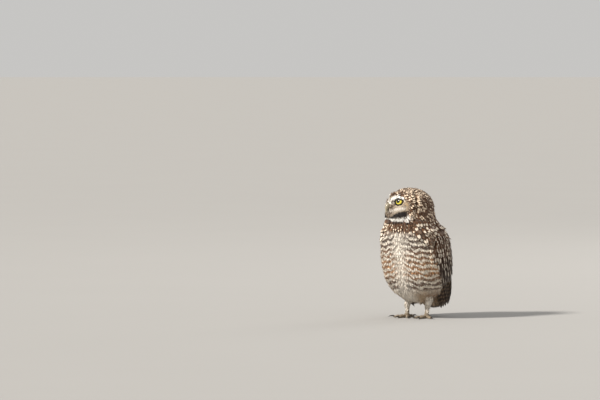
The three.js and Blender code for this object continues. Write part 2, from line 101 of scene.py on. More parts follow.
def unit(vectors: Array) -> Array:
    """Vectors at length one, along the last axis."""
    size = np.linalg.norm(vectors, axis=-1, keepdims=True)
    return vectors / np.maximum(size, 1e-9)


def ramp(values: Array, low: float, high: float) -> Array:
    """A smooth step from 0 at low to 1 at high; high may be the lower one."""
    t = np.clip((values - low) / (high - low), 0.0, 1.0)
    return t * t * (3.0 - 2.0 * t)


def joined(*values: Array | float) -> Array:
    """Puts values side by side along a new last axis; a number stands for all rows."""
    return np.stack(np.broadcast_arrays(*values), axis=-1)


def blend(first: Array | Triple, second: Array | Triple, share: Array) -> Array:
    """Colours mixed row by row by a share from 0 to 1."""
    share = np.asarray(share)[..., None]
    return np.asarray(first) * (1.0 - share) + np.asarray(second) * share


def hill(values: Array, middle: float | Array, half: float | Array, power: int = 2) -> Array:
    """1 at the middle, falling softly to 0 a little beyond the half width."""
    return np.exp(-(((values - middle) / half) ** power))


def turn_from(angle: Array, middle: float = 0.0) -> Array:
    """The turn from a middle direction, between -180 and 180 degrees."""
    return ((angle - middle + 180) % 360) - 180


def circle(count: int, start: float = 0.0) -> Array:
    """Angles of points spaced evenly round a circle, in radians."""
    return 2 * np.pi * (np.arange(count) + start) / count


def flattened(vectors: Array, normal: Array) -> Array:
    """Unit directions along a surface, from any directions and the surface's normals."""
    return unit(vectors - normal * np.sum(vectors * normal, axis=-1, keepdims=True))


def bake_place(across: Array, along: Array) -> Array:
    """Places on the OFBake map for shares from 0 to 1, kept clear of the map's rim."""
    return np.clip(0.02 + 0.96 * joined(across, along), 0.01, 0.99)


def hermite(
    t: Array, first: Array, second: Array, slopes: tuple[Array, Array], span: Array | float = 1.0
) -> Array:
    """A smooth cubic between two values.

    Args:
        t: how far along, from 0 to 1.
        first: the value at 0.
        second: the value at 1.
        slopes: the slopes at 0 and at 1.
        span: the length that the slopes are measured over.
    """
    cube, square = t**3, t**2
    return (
        (2 * cube - 3 * square + 1) * first
        + (cube - 2 * square + t) * span * slopes[0]
        + (3 * square - 2 * cube) * second
        + (cube - square) * span * slopes[1]
    )


@dataclass
class BirdFrame:
    """Carries the bird's own millimetres to the scene's metres.

    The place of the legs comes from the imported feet, so the scene follows the frame.
    """

    leg_back: float = 3.0
    offset: Array = field(init=False)

    def __post_init__(self) -> None:
        """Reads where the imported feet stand."""
        feet = np.array([np.mean(np.array(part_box(f"foot_{s.label}")), axis=0) for s in Side])
        middle = feet.mean(axis=0)
        self.offset = np.array([middle[0], middle[1] - self.leg_back * MM, 0.0])

    def to_scene(self, points: Array) -> Array:
        """Points in millimetres, as scene points in metres."""
        return np.asarray(points) * MM + self.offset


@dataclass(frozen=True)
class Section:
    """One level of a rounded body: height, middle in y, half width and half depth."""

    z: float
    middle: float
    width: float
    depth: float


class RoundedBody:
    """A body of rounded level sections; angle 0 is the front, 90 the bird's left."""

    ROUNDNESS = 2.3

    def __init__(self, sections: tuple[Section, ...]) -> None:
        """Keeps the levels, which run from the lowest to the highest."""
        self.table = np.array([[s.z, s.middle, s.width, s.depth] for s in sections])

    def section_at(self, z: Array) -> tuple[Array, Array, Array]:
        """Smooth middle, half width and half depth at the heights z.

        Args:
            z: heights.

        Returns:
            The middle in y, half width and half depth at each height.
        """
        z = np.clip(z, self.table[0, 0], self.table[-1, 0])
        heights = self.table[:, 0]
        last = len(heights) - 1
        low = np.clip(np.searchsorted(heights, z, side="right") - 1, 0, last - 1)
        high = low + 1
        before, after = np.maximum(low - 1, 0), np.minimum(high + 1, last)
        span = heights[high] - heights[low]
        t = (z - heights[low]) / span
        values = []
        for k in (1, 2, 3):
            column = self.table[:, k]
            slope_in = (column[high] - column[before]) / (heights[high] - heights[before])
            slope_out = (column[after] - column[low]) / (heights[after] - heights[low])
            values.append(hermite(t, column[low], column[high], (slope_in, slope_out), span))
        return values[0], values[1], values[2]

    def point(self, z: Array, angle: Array, grow: Array = 0.0) -> Array:
        """Points of the surface, grown outwards by grow."""
        z, angle = np.broadcast_arrays(np.asarray(z, float), np.asarray(angle, float))
        middle, width, depth = self.section_at(z)
        power = 2.0 / self.ROUNDNESS
        sine, cosine = np.sin(np.radians(angle)), np.cos(np.radians(angle))
        x = (width + grow) * np.sign(sine) * np.abs(sine) ** power
        y = middle - (depth + grow) * np.sign(cosine) * np.abs(cosine) ** power
        return joined(x, y, z)

    def frame_at(self, z: Array, angle: Array) -> tuple[Array, Array, Array]:
        """Directions on the surface: around it, up it, and out of it."""
        around = unit(self.point(z, angle + 2.0) - self.point(z, angle - 2.0))
        step = 1.2
        up = unit(self.point(z + step, angle) - self.point(z - step, angle))
        out = unit(np.cross(around, up))
        return around, up, out


TORSO_SECTIONS = (
    Section(31, 16, 14, 14), Section(38, 12.5, 30, 28), Section(50, 8, 44, 41), Section(62, 4, 50.5, 47.5),
    Section(75, 1, 54.5, 51), Section(90, -1.5, 57, 53), Section(112, -4, 58.5, 54.5),
    Section(132, -6, 57.5, 54), Section(148, -9, 55, 52.5), Section(160, -13, 50.5, 49),
    Section(168, -17, 45.5, 45.5), Section(178, -21, 42.5, 42.5),
)
WRAP_SECTIONS = (
    Section(12, 54, 30, 25), Section(24, 47, 37, 31), Section(45, 31, 47, 42), Section(70, 15, 56, 51),
    Section(100, 3, 61.5, 57), Section(130, -4.5, 62, 58), Section(150, -9, 59, 56.5),
    Section(160, -13, 54.5, 53), Section(168, -17, 49, 48),
)


@dataclass
class HeadForm:
    """The head in its own frame: centre at the origin, face towards -Y.

    Each row of FACE is a soft swelling or hollow on both sides of the face: its turn and
    level, its half width and half height in degrees, and its height in millimetres.
    """

    centre: Triple = (-1.0, -20.0, 200.0)
    turn: float = -35.0
    half_width: float = 41.0
    half_depth: float = 42.0
    up: float = 32.5
    down: float = 80.0
    eye_out: float = 16.5
    eye_forward: float = 24.5
    eye_height: float = 8.0
    eye_splay: float = 25.5
    eye_radius: float = 9.2
    eye_tilt: float = 16.5

    FACE = (
        (34, 13, 14, 12, -5.2), (30, 27, 22, 8, 3.2), (0, 10, 8, 14, 2.2), (40, -18, 18, 13, 1.8),
        (66, 4, 8, 34, 1.5), (76, 4, 7, 34, -1.1),
    )

    def radius(self, azimuth: Array, elevation: Array) -> Array:
        """Distance of the surface from the centre, in radians all round.

        Args:
            azimuth: turn from the face, positive to the bird's left.
            elevation: angle above the level.
        """
        side = np.sin(azimuth) * np.cos(elevation)
        front = np.cos(azimuth) * np.cos(elevation)
        rise = np.sin(elevation)
        tall = np.where(rise > 0, self.up, self.down)
        n = 2.25 - 0.25 * ramp(elevation, np.radians(-15), np.radians(20))
        total = (
            np.abs(side / self.half_width) ** n
            + np.abs(front / self.half_depth) ** n
            + np.abs(rise / tall) ** n
        )
        radius = total ** (-1.0 / n)

        shape = 0.0
        for turn, level, wide, high, height in self.FACE:
            across = ((np.abs(azimuth) - np.radians(turn)) / np.radians(wide)) ** 2
            along = ((elevation - np.radians(level)) / np.radians(high)) ** 2
            shape = shape + height * np.exp(-across - along)
        ruff = (3 + 1.6 * (1 - np.cos(azimuth))) * hill(elevation, np.radians(-35), np.radians(20))
        return radius + np.where(np.abs(azimuth) < np.pi * 0.6, shape, 0.0) + ruff

    def point(self, azimuth: Array, elevation: Array, grow: Array = 0.0) -> Array:
        """Points of the surface in the head's own frame."""
        azimuth, elevation = np.broadcast_arrays(azimuth, elevation)
        r = self.radius(azimuth, elevation) + grow
        level = np.cos(elevation)
        return joined(r * np.sin(azimuth) * level, -r * np.cos(azimuth) * level, r * np.sin(elevation))

    def normal(self, azimuth: Array, elevation: Array) -> Array:
        """Outward directions of the surface in the head's own frame."""
        step = 0.02
        around = self.point(azimuth + step, elevation) - self.point(azimuth - step, elevation)
        up = self.point(azimuth, elevation + step) - self.point(azimuth, elevation - step)
        return unit(np.cross(around, up))

    def turned(self, vectors: Array) -> Array:
        """Directions of the head's frame in the bird's frame."""
        angle = np.radians(self.turn)
        cosine, sine = np.cos(angle), np.sin(angle)
        matrix = np.array([[cosine, -sine, 0], [sine, cosine, 0], [0, 0, 1.0]])
        return np.asarray(vectors) @ matrix.T

    def to_bird(self, points: Array) -> Array:
        """Points of the head's frame in the bird's frame."""
        return self.turned(points) + np.array(self.centre)

    def eye_centre(self, side: Side) -> Array:
        """Centre of an eyeball in the head's own frame."""
        return np.array([side.value * self.eye_out, -self.eye_forward, self.eye_height])

    def gaze(self, side: Side) -> Array:
        """Direction that an eye looks in, in the head's own frame."""
        splay, tilt = np.radians(self.eye_splay), np.radians(self.eye_tilt)
        level = np.array([side.value * np.sin(splay), -np.cos(splay), 0.0])
        return level * np.cos(tilt) + np.array([0, 0, np.sin(tilt)])

    def eye_axes(self, side: Side) -> tuple[Array, Array, Array]:
        """The directions along an eye's gaze, across it and up from it."""
        gaze = self.gaze(side)
        across = unit(np.cross(gaze, [0, 0, 1.0]))
        return gaze, across, np.cross(across, gaze)


@dataclass
class Builder:
    """Makes mesh objects from arrays, in the bird's millimetres."""

    frame: BirdFrame

    def mesh(
        self, name: str, points: Array, faces: Array, finish: Material,
        attributes: dict[str, Array] | None = None, smooth: bool = True,
    ) -> Piece:
        """One object.

        Args:
            name: the piece's name.
            points: vertices in the bird's millimetres.
            faces: four corners to a row, or three.
            finish: the material.
            attributes: values by vertex: one number, three numbers, or four for a colour.
            smooth: whether faces are shaded smooth.

        Returns:
            The new object, linked to the scene.
        """
        corners = faces.shape[1]
        mesh = bpy.data.meshes.new(name)
        mesh.vertices.add(len(points))
        mesh.vertices.foreach_set("co", self.frame.to_scene(points).astype(np.float32).ravel())
        mesh.loops.add(faces.size)
        mesh.loops.foreach_set("vertex_index", faces.astype(np.int32).ravel())
        mesh.polygons.add(len(faces))
        starts = np.arange(0, faces.size, corners, dtype=np.int32)
        mesh.polygons.foreach_set("loop_start", starts)
        mesh.polygons.foreach_set("use_smooth", np.full(len(faces), smooth))
        mesh.update(calc_edges=True)
        for key, values in (attributes or {}).items():
            self.attribute(mesh, key, values)
        mesh.validate()
        mesh.materials.append(finish)
        piece = bpy.data.objects.new(name, mesh)
        bpy.context.scene.collection.objects.link(piece)
        return piece

    @staticmethod
    def attribute(mesh: bpy.types.Mesh, key: str, values: Array) -> None:
        """Stores values by vertex under a name that the materials read."""
        width = 1 if values.ndim == 1 else values.shape[1]
        kinds = {1: ("FLOAT", "value"), 3: ("FLOAT_VECTOR", "vector"), 4: ("FLOAT_COLOR", "color")}
        kind, slot = kinds[width]
        made = mesh.attributes.new(key, kind, "POINT")
        made.data.foreach_set(slot, values.astype(np.float32).ravel())

    @staticmethod
    def uv(piece: Piece, places: Array) -> None:
        """Gives a piece its OFBake map from a place by vertex."""
        mesh = piece.data
        layer = mesh.uv_layers.new(name="OFBake")
        index = np.empty(len(mesh.loops), dtype=np.int32)
        mesh.loops.foreach_get("vertex_index", index)
        layer.data.foreach_set("uv", places[index].astype(np.float32).ravel())


def grid_faces(rows: int, columns: int, closed: bool) -> Array:
    """Quads between rows of points; closed joins the last column to the first."""
    width = columns if closed else columns - 1
    i, j = np.meshgrid(np.arange(rows - 1) * columns, np.arange(width), indexing="ij")
    ahead = (j + 1) % columns
    return joined(i + j, i + ahead, i + columns + ahead, i + columns + j).reshape(-1, 4)


def capped_tube(rings: Array) -> tuple[Array, Array]:
    """Points and triangles of a closed form from rings of points, rows by columns by 3.

    Args:
        rings: rows by columns by 3.

    Returns:
        The points and the triangles.
    """
    rows, columns, _ = rings.shape
    quads = grid_faces(rows, columns, True)
    triangles = np.concatenate([quads[:, [0, 1, 2]], quads[:, [0, 2, 3]]])
    ends = np.stack([rings[0].mean(axis=0), rings[-1].mean(axis=0)])
    points = np.concatenate([rings.reshape(-1, 3), ends])
    around = np.arange(columns)
    ahead = (around + 1) % columns
    first, last = rows * columns, rows * columns + 1
    top = (rows - 1) * columns
    low_cap = joined(np.full(columns, first), ahead, around)
    high_cap = joined(np.full(columns, last), top + around, top + ahead)
    return points, np.concatenate([triangles, low_cap, high_cap])


def smooth_path(stops: Array, count: int) -> Array:
    """Values eased through the stops, row by row, with no overshoot at the ends.

    Args:
        stops: the values to pass through, row by row.
        count: how many rows are made.

    Returns:
        The eased rows.
    """
    stops = np.asarray(stops, float)
    last = len(stops) - 1
    t = np.linspace(0, last, count)
    low = np.minimum(t.astype(int), last - 1)
    mix = (t - low)[:, None]
    before, after = stops[np.maximum(low - 1, 0)], stops[np.minimum(low + 2, last)]
    a, b = stops[low], stops[low + 1]
    in_slope, out_slope = (b - before) / 2, (after - a) / 2
    in_slope = np.where((low == 0)[:, None], b - a, in_slope)
    out_slope = np.where((low == last - 1)[:, None], b - a, out_slope)
    return hermite(mix, a, b, (in_slope, out_slope))


def limb_rings(stops: Array, count: int, sides: int) -> Array:
    """Rings along a curve, with the width measured along x.

    Args:
        stops: rows of x, y, z, half width and half depth.
        count: how many rings are made.
        sides: points in a ring.
    """
    reference = np.array([1.0, 0, 0])
    path = smooth_path(stops, count)
    centres = path[:, :3]
    along = unit(np.gradient(centres, axis=0))
    across = unit(reference - along * (along @ reference)[:, None])
    out = np.cross(along, across)
    angle = circle(sides, 0.5)
    ring = (
        across[:, None, :] * np.cos(angle)[None, :, None] * path[:, 3, None, None]
        + out[:, None, :] * np.sin(angle)[None, :, None] * path[:, 4, None, None]
    )
    return centres[:, None, :] + ring


class NodeKit:
    """Short ways to place shader nodes and join them."""

    def __init__(self, tree: Tree) -> None:
        """Works in one node tree."""
        self.tree = tree

    def add(self, kind: str, **settings: object) -> bpy.types.Node:
        """A new node with some of its properties set."""
        node = self.tree.nodes.new(kind)
        for key, value in settings.items():
            setattr(node, key, value)
        return node

    def link(self, source: Socket, target: Socket) -> None:
        """Joins an output to an input."""
        self.tree.links.new(source, target)

    def feed(self, target: Socket, value: object) -> None:
        """Gives an input a link or a plain value."""
        if isinstance(value, Socket):
            self.link(value, target)
        else:
            target.default_value = value

    def math(self, operation: str, first: object, second: object = 0.0, third: object = 0.0) -> Socket:
        """The result of one arithmetic step."""
        node = self.add("ShaderNodeMath", operation=operation)
        for socket, value in zip(node.inputs, (first, second, third)):
            self.feed(socket, value)
        return node.outputs[0]

    def times(self, first: object, second: object, plus: object = 0.0) -> Socket:
        """A product, with a value added to it."""
        return self.math("MULTIPLY_ADD", first, second, plus)

    def step(self, value: object, low: float, high: float, first: float = 0.0, last: float = 1.0) -> Socket:
        """A smooth change from a first to a last value, between a low and a high input."""
        node = self.add("ShaderNodeMapRange", interpolation_type="SMOOTHSTEP")
        keys = ("Value", "From Min", "From Max", "To Min", "To Max")
        for key, item in zip(keys, (value, low, high, first, last)):
            self.feed(node.inputs[key], item)
        return node.outputs["Result"]

    def mix(self, share: object, first: object, second: object, blend_type: str = "MIX") -> Socket:
        """Two colours mixed by a share; a mix node's colours are its inputs 6 and 7."""
        node = self.add("ShaderNodeMix", data_type="RGBA", blend_type=blend_type, clamp_factor=True)
        self.feed(node.inputs["Factor"], share)
        self.feed(node.inputs[6], first)
        self.feed(node.inputs[7], second)
        return node.outputs[2]

    def toned(self, colour: object, tone: Socket) -> Socket:
        """A colour made darker or lighter by a tone."""
        grey = self.add("ShaderNodeCombineColor")
        for socket in grey.inputs[:3]:
            self.link(tone, socket)
        return self.mix(1.0, colour, grey.outputs[0], "MULTIPLY")

    def group(self, tree: Tree, values: dict[str, object]) -> bpy.types.Node:
        """A shared group with the given inputs."""
        node = self.add("ShaderNodeGroup", node_tree=tree)
        for key, value in values.items():
            self.feed(node.inputs[key], value)
        return node

    def value_of(self, name: str) -> bpy.types.Node:
        """The node that reads a stored attribute."""
        return self.add("ShaderNodeAttribute", attribute_name=name, attribute_type="GEOMETRY")

    def object_place(self) -> Socket:
        """Coordinates fixed to the piece, in metres."""
        return self.add("ShaderNodeTexCoord").outputs["Object"]


FLOAT, COLOUR = "NodeSocketFloat", "NodeSocketColor"


def new_group(name: str, given: dict[str, object], results: tuple[str, ...]) -> tuple:
    """An empty shader node group with its sockets.

    Args:
        name: the group's name.
        given: the default of each input: a number, or four numbers for a colour.
        results: the outputs; one named Colour is a colour, any other a number.

    Returns:
        The group, its inputs' sockets, its outputs' sockets and a kit to fill it with.
    """
    tree = bpy.data.node_groups.new(name, "ShaderNodeTree")
    for label, default in given.items():
        kind = COLOUR if isinstance(default, tuple) else FLOAT
        tree.interface.new_socket(name=label, in_out="INPUT", socket_type=kind).default_value = default
    for label in results:
        kind = COLOUR if label == "Colour" else FLOAT
        tree.interface.new_socket(name=label, in_out="OUTPUT", socket_type=kind)
    kit = NodeKit(tree)
    return tree, kit.add("NodeGroupInput").outputs, kit.add("NodeGroupOutput").inputs, kit


class PlumageEffects:
    """The shader node groups that the feather materials share."""

    def __init__(self) -> None:
        """Builds each group once."""
        self.vane = self.vane_grain()
        self.markings = self.vane_markings()
        self.mottle = self.soft_mottle()

    @staticmethod
    def vane_grain() -> Tree:
        """Fine slanting barbs and a shaft, as a tone and a height.

        Returns:
            The group.
        """
        tree, got, result, kit = new_group(
            "vane_grain", {"Along": 0.5, "Across": 0.0, "Luck": 0.5, "Barbs": 60.0}, ("Tone", "Height")
        )
        sideways = kit.math("ABSOLUTE", got["Across"])
        slant = kit.times(sideways, -0.35, got["Along"])
        wave = kit.math("SINE", kit.times(slant, got["Barbs"], kit.times(got["Luck"], 9.0)))
        shaft = kit.step(sideways, 0.02, 0.12, 1.0, 0.0)
        kit.link(kit.times(shaft, -0.1, kit.times(wave, 0.06, 1.0)), result["Tone"])
        kit.link(kit.times(shaft, 0.6, kit.times(wave, 0.3)), result["Height"])
        return tree

    @staticmethod
    def vane_markings() -> Tree:
        """Bars, pale spots and a pale tip laid over a feather's ground colour, darkened towards the root by
        painted shade.

        Returns:
            The group.
        """
        tree, got, result, kit = new_group(
            "vane_markings",
            {
                "Ground": (0.5, 0.4, 0.3, 1), "Mark": (0.1, 0.07, 0.05, 1), "Spot Colour": (0.8, 0.75, 0.65, 1),
                "Along": 0.5, "Across": 0.0, "Bar Place": 0.0, "Bars": 0.0, "Spots": 0.0, "Tips": 0.0,
                "Spot Aside": 0.0, "Spot Wide": 0.5, "Spot Along": 0.7, "Spot Long": 0.15, "Spot Gap": 0.0,
                "Edge Bars": 0.0, "Luck": 0.5,
            },
            ("Colour",),
        )
        sideways = kit.math("ABSOLUTE", got["Across"])
        wave = kit.math("SINE", kit.times(got["Bar Place"], 2 * np.pi))
        narrow = kit.times(got["Edge Bars"], -0.45, wave)
        bar = kit.times(kit.step(narrow, -0.3, 0.2), got["Bars"])
        inner = kit.times(kit.step(sideways, 0.15, 0.42, 1.0, 0.0), got["Edge Bars"])
        bar = kit.times(bar, kit.math("SUBTRACT", 1.0, inner))
        colour = kit.mix(bar, got["Ground"], got["Mark"])
        found = []
        for sign, gap in ((-1.0, 0.0), (1.0, 1.0)):
            level = kit.times(got["Spot Gap"], gap, kit.math("SUBTRACT", got["Along"], got["Spot Along"]))
            up = kit.math("DIVIDE", level, got["Spot Long"])
            over = kit.math("DIVIDE", kit.times(got["Spot Aside"], sign, got["Across"]), got["Spot Wide"])
            found.append(kit.step(kit.times(up, up, kit.times(over, over)), 0.6, 1.3, 1.0, 0.0))
        spot = kit.times(kit.math("MAXIMUM", *found), got["Spots"])
        tip = kit.times(kit.step(got["Along"], 0.82, 0.96), got["Tips"])
        for share in (spot, tip):
            colour = kit.mix(share, colour, got["Spot Colour"])
        # Painted shade: each feather darkens towards its root, where the feathers lying over it would shade it;
        # Luck adds a random tone.
        shade = kit.step(got["Along"], 0.0, 0.45, 0.76, 1.06)
        kit.link(kit.toned(colour, kit.times(shade, kit.times(got["Luck"], 0.26, 0.87))), result["Colour"])
        return tree

    @staticmethod
    def soft_mottle() -> Tree:
        """Small irregular changes of tone over a colour.

        Returns:
            The group.
        """
        tree, got, result, kit = new_group(
            "soft_mottle", {"Colour": (0.5, 0.5, 0.5, 1), "Tone": 1.0, "Amount": 0.2, "Scale": 400.0},
            ("Colour", "Height"),
        )
        noise = kit.add("ShaderNodeTexNoise", noise_dimensions="3D")
        kit.link(kit.object_place(), noise.inputs["Vector"])
        kit.link(got["Scale"], noise.inputs["Scale"])
        noise.inputs["Detail"].default_value = 3.0
        height = noise.outputs["Fac"]
        tone = kit.times(kit.math("SUBTRACT", height, 0.5), got["Amount"], got["Tone"])
        kit.link(kit.toned(got["Colour"], tone), result["Colour"])
        kit.link(height, result["Height"])
        return tree


class FinishKit(NodeKit):
    """A new material with its shader, and the steps that the finishes share."""

    def __init__(self, name: str, effects: PlumageEffects) -> None:
        """Makes the material of that name, which may use the shared effects."""
        self.material = bpy.data.materials.new(name)
        self.material.use_nodes = True
        super().__init__(self.material.node_tree)
        self.shader = self.tree.nodes["Principled BSDF"]
        self.effects = effects

    def mottled(self, colour: object, amount: float, scale: float, tone: object = 1.0) -> Socket:
        """Feeds the shader a colour with soft mottling.

        Args:
            colour: the colour, plain or from a node.
            amount: how much the tone changes.
            scale: spots to a metre.
            tone: a tone for the whole colour.

        Returns:
            The mottling as a height.
        """
        colour = colour if isinstance(colour, Socket) else (*colour, 1.0)
        values = {"Colour": colour, "Tone": tone, "Amount": amount, "Scale": scale}
        node = self.group(self.effects.mottle, values)
        self.link(node.outputs["Colour"], self.shader.inputs["Base Color"])
        return node.outputs["Height"]

    def raised(self, height: Socket, strength: float, distance: float) -> None:
        """Lets a height tilt the shader's normal, by a strength and a distance in metres."""
        bump = self.add("ShaderNodeBump")
        bump.inputs["Strength"].default_value = strength
        bump.inputs["Distance"].default_value = distance
        self.link(height, bump.inputs["Height"])
        self.link(bump.outputs["Normal"], self.shader.inputs["Normal"])

    def surface(self, values: dict[str, float]) -> Material:
        """Sets plain values on the shader's own sockets, and hands over the material."""
        for key, value in values.items():
            self.shader.inputs[key].default_value = value
        return self.material


@dataclass(frozen=True)
class PlumeFinish:
    """A feather material: markings and painted root shade from the vanes' own values, barbs and a soft surface.
    """

    name: str
    spot_colour: Triple
    barbs: float = 50.0
    roughness: float = 0.78
    sheen: float = 0.12
    relief: float = 0.25
    spot_long: float = 0.2
    spot_gap: float = 0.0
    edge_bars: float = 0.0
    mottle: float = 0.25
    mottle_scale: float = 260.0

    def make(self, effects: PlumageEffects) -> Material:
        """The material, with its nodes.

        Args:
            effects: the shared node groups.

        Returns:
            The material.
        """
        kit = FinishKit(self.name, effects)
        places = {label: kit.value_of(label.lower()).outputs["Fac"] for label in ("Along", "Across", "Luck")}
        values = {
            **places, "Bar Place": kit.value_of("bar_place").outputs["Fac"],
            "Ground": kit.value_of("ground").outputs["Color"],
            "Mark": kit.value_of("mark").outputs["Color"], "Spot Colour": (*self.spot_colour, 1.0),
            "Spot Long": self.spot_long, "Spot Gap": self.spot_gap, "Edge Bars": self.edge_bars,
        }
        for key, labels in (
            ("pattern", ("Bars", "Spots", "Tips")), ("spot", ("Spot Aside", "Spot Wide", "Spot Along")),
        ):
            parts = kit.add("ShaderNodeSeparateXYZ")
            kit.link(kit.value_of(key).outputs["Vector"], parts.inputs[0])
            values.update(zip(labels, parts.outputs))
        marks = kit.group(effects.markings, values)
        grain = kit.group(effects.vane, {**places, "Barbs": self.barbs})
        kit.mottled(marks.outputs["Colour"], self.mottle, self.mottle_scale, grain.outputs["Tone"])
        kit.raised(grain.outputs["Height"], self.relief, 0.0002)
        return kit.surface(
            {"Roughness": self.roughness, "Sheen Weight": self.sheen, "Specular IOR Level": 0.25}
        )


@dataclass(frozen=True)
class DownFinish:
    """The skin and its down, in the colours that its points carry."""

    name: str
    roughness: float = 0.9

    def make(self, effects: PlumageEffects) -> Material:
        """The material, with its nodes."""
        kit = FinishKit(self.name, effects)
        height = kit.mottled(kit.value_of("ground").outputs["Color"], 0.5, 500.0)
        kit.raised(height, 0.5, 0.0004)
        return kit.surface({"Roughness": self.roughness})


@dataclass(frozen=True)
class HornFinish:
    """Bill and claw horn: a tone that changes along the piece, with fine growth lines."""

    name: str
    base: Triple
    tip: Triple
    roughness: float = 0.38
    coat: float = 0.25
    lines: float = 90.0

    def make(self, effects: PlumageEffects) -> Material:
        """The material, with its nodes."""
        kit = FinishKit(self.name, effects)
        along = kit.value_of("along").outputs["Fac"]
        colour = kit.mix(kit.step(along, 0.2, 0.95), (*self.base, 1.0), (*self.tip, 1.0))
        mottle = kit.mottled(colour, 0.35, 700.0)
        kit.raised(kit.times(kit.math("SINE", kit.times(along, self.lines)), 0.25, mottle), 0.25, 0.0001)
        return kit.surface({"Roughness": self.roughness, "Coat Weight": self.coat})


@dataclass(frozen=True)
class ScaleFinish:
    """Bare skin of the toes and shins: small scales over a grey-buff ground."""

    name: str
    colour: Triple = srgb(150, 136, 116)
    crease: Triple = srgb(84, 70, 56)
    roughness: float = 0.6
    scales: float = 900.0

    def make(self, effects: PlumageEffects) -> Material:
        """The material, with its nodes.

        Args:
            effects: the shared node groups.

        Returns:
            The material.
        """
        kit = FinishKit(self.name, effects)
        cells = kit.add("ShaderNodeTexVoronoi", feature="DISTANCE_TO_EDGE")
        kit.link(kit.object_place(), cells.inputs["Vector"])
        cells.inputs["Scale"].default_value = self.scales
        edge = kit.step(cells.outputs["Distance"], 0.02, 0.16)
        kit.mottled(kit.mix(edge, (*self.crease, 1.0), (*self.colour, 1.0)), 0.5, 300.0)
        kit.raised(edge, 0.6, 0.0003)
        return kit.surface({"Roughness": self.roughness})


@dataclass(frozen=True)
class EyeFinish:
    """The eye: a black pupil in a streaked yellow iris, under a clear wet coat.

    The pupil and the iris are given as angles from the gaze, in degrees.
    """

    name: str
    pupil: float = 25.0
    iris: float = 50.0
    streaks: Pair = (46.0, 113.0)

    BLACK = srgb(9, 8, 8)
    DEEP = srgb(206, 186, 20)
    BRIGHT_YELLOW = srgb(250, 238, 92)
    RIM = srgb(150, 122, 10)

    def make(self, effects: PlumageEffects) -> Material:
        """The material, with its nodes.

        Args:
            effects: the shared node groups.

        Returns:
            The material.
        """
        kit = FinishKit(self.name, effects)
        black, deep, bright, rim = ((*c, 1.0) for c in (self.BLACK, self.DEEP, self.BRIGHT_YELLOW, self.RIM))
        off = kit.value_of("off_gaze").outputs["Fac"]
        turn = kit.value_of("iris_turn").outputs["Fac"]
        spoke, fine = (kit.math("SINE", kit.times(turn, count)) for count in self.streaks)
        yellow = kit.mix(kit.times(kit.math("ADD", spoke, fine), 0.12, 0.5), deep, bright)
        iris = kit.mix(kit.step(off, self.iris - 13.0, self.iris - 2.0), yellow, rim)
        inner = kit.mix(kit.step(off, self.pupil - 0.8, self.pupil + 0.8), black, iris)
        kit.mottled(kit.mix(kit.step(off, self.iris - 1.0, self.iris + 1.5), inner, black), 0.2, 1500.0)
        return kit.surface({"Roughness": 0.12, "Coat Weight": 1.0, "Coat Roughness": 0.02})


@dataclass(frozen=True)
class PlainFinish:
    """A matte surface with a faint mottle, for lids and the stage."""

    name: str
    colour: Triple
    roughness: float = 0.8
    amount: float = 0.3
    scale: float = 600.0

    def make(self, effects: PlumageEffects) -> Material:
        """The material, with its nodes."""
        kit = FinishKit(self.name, effects)
        kit.mottled(self.colour, self.amount, self.scale)
        return kit.surface({"Roughness": self.roughness})


@dataclass
class Tract:
    """Feathers of one part of the coat, one row of each array to a feather."""

    root: Array
    lie: Array
    out: Array
    place: Array
    ground: Array
    length: Array | float = 1.0
    width: Array | float = 1.0
    rise: Array | float = 0.0
    bend: Array | float = 0.0
    mark: Array | Triple = BROWN
    pattern: Array | Triple = (0.0, 0.0, 0.0)
    spot: Array | Triple = (0.0, 0.55, 0.72)
    bar_place: Callable[[Array, Array], Array] | None = None

    SINGLE = ("length", "width", "rise", "bend")

    def __post_init__(self) -> None:
        """Gives each feather the values that are stated once for all."""
        n = len(self.root)
        for key, value in vars(self).items():
            if key in self.SINGLE:
                setattr(self, key, np.broadcast_to(value, n))
            elif key != "bar_place":
                setattr(self, key, np.array(np.broadcast_to(value, (n, np.shape(value)[-1]))))

    def keep(self, wanted: Array) -> Tract:
        """The feathers that a mask keeps."""
        values = dict(vars(self))
        bar_place = values.pop("bar_place")
        return Tract(**{key: value[wanted] for key, value in values.items()}, bar_place=bar_place)


@dataclass(eq=False)
class Vane:
    """One closed, thin vane: s runs along it from 0 to 1, t across it from -1 to 1.

    Its face is 1 for points on top, 0 on the shared rim and -1 below.
    """

    rows: int = 5
    columns: int = 3

    def __post_init__(self) -> None:
        """Lays out the points and the quads."""
        along, across = np.linspace(0, 1, self.rows + 1), np.linspace(-1, 1, self.columns + 1)
        s, t = np.meshgrid(along, across, indexing="ij")
        top = np.arange(s.size).reshape(s.shape)
        inner = (slice(1, -1), slice(1, -1))
        low, face = top.copy(), np.zeros(s.shape)
        low[inner] = s.size + np.arange(top[inner].size).reshape(top[inner].shape)
        face[inner] = 1.0
        sheets = [joined(p[:-1, :-1], p[:-1, 1:], p[1:, 1:], p[1:, :-1]).reshape(-1, 4) for p in (top, low)]
        self.quads = np.concatenate([sheets[0], sheets[1][:, [0, 3, 2, 1]]])
        self.s = np.concatenate([s.ravel(), s[inner].ravel()])
        self.t = np.concatenate([t.ravel(), t[inner].ravel()])
        self.face = np.concatenate([face.ravel(), -np.ones(top[inner].size)])

    def half(self) -> Array:
        """Half width along a body feather, as a share of its widest."""
        full = np.maximum(np.sin(np.pi * self.s**0.8) ** 0.55, 0.06)
        return full * np.where(self.s > 0.985, 0.45, 1.0)


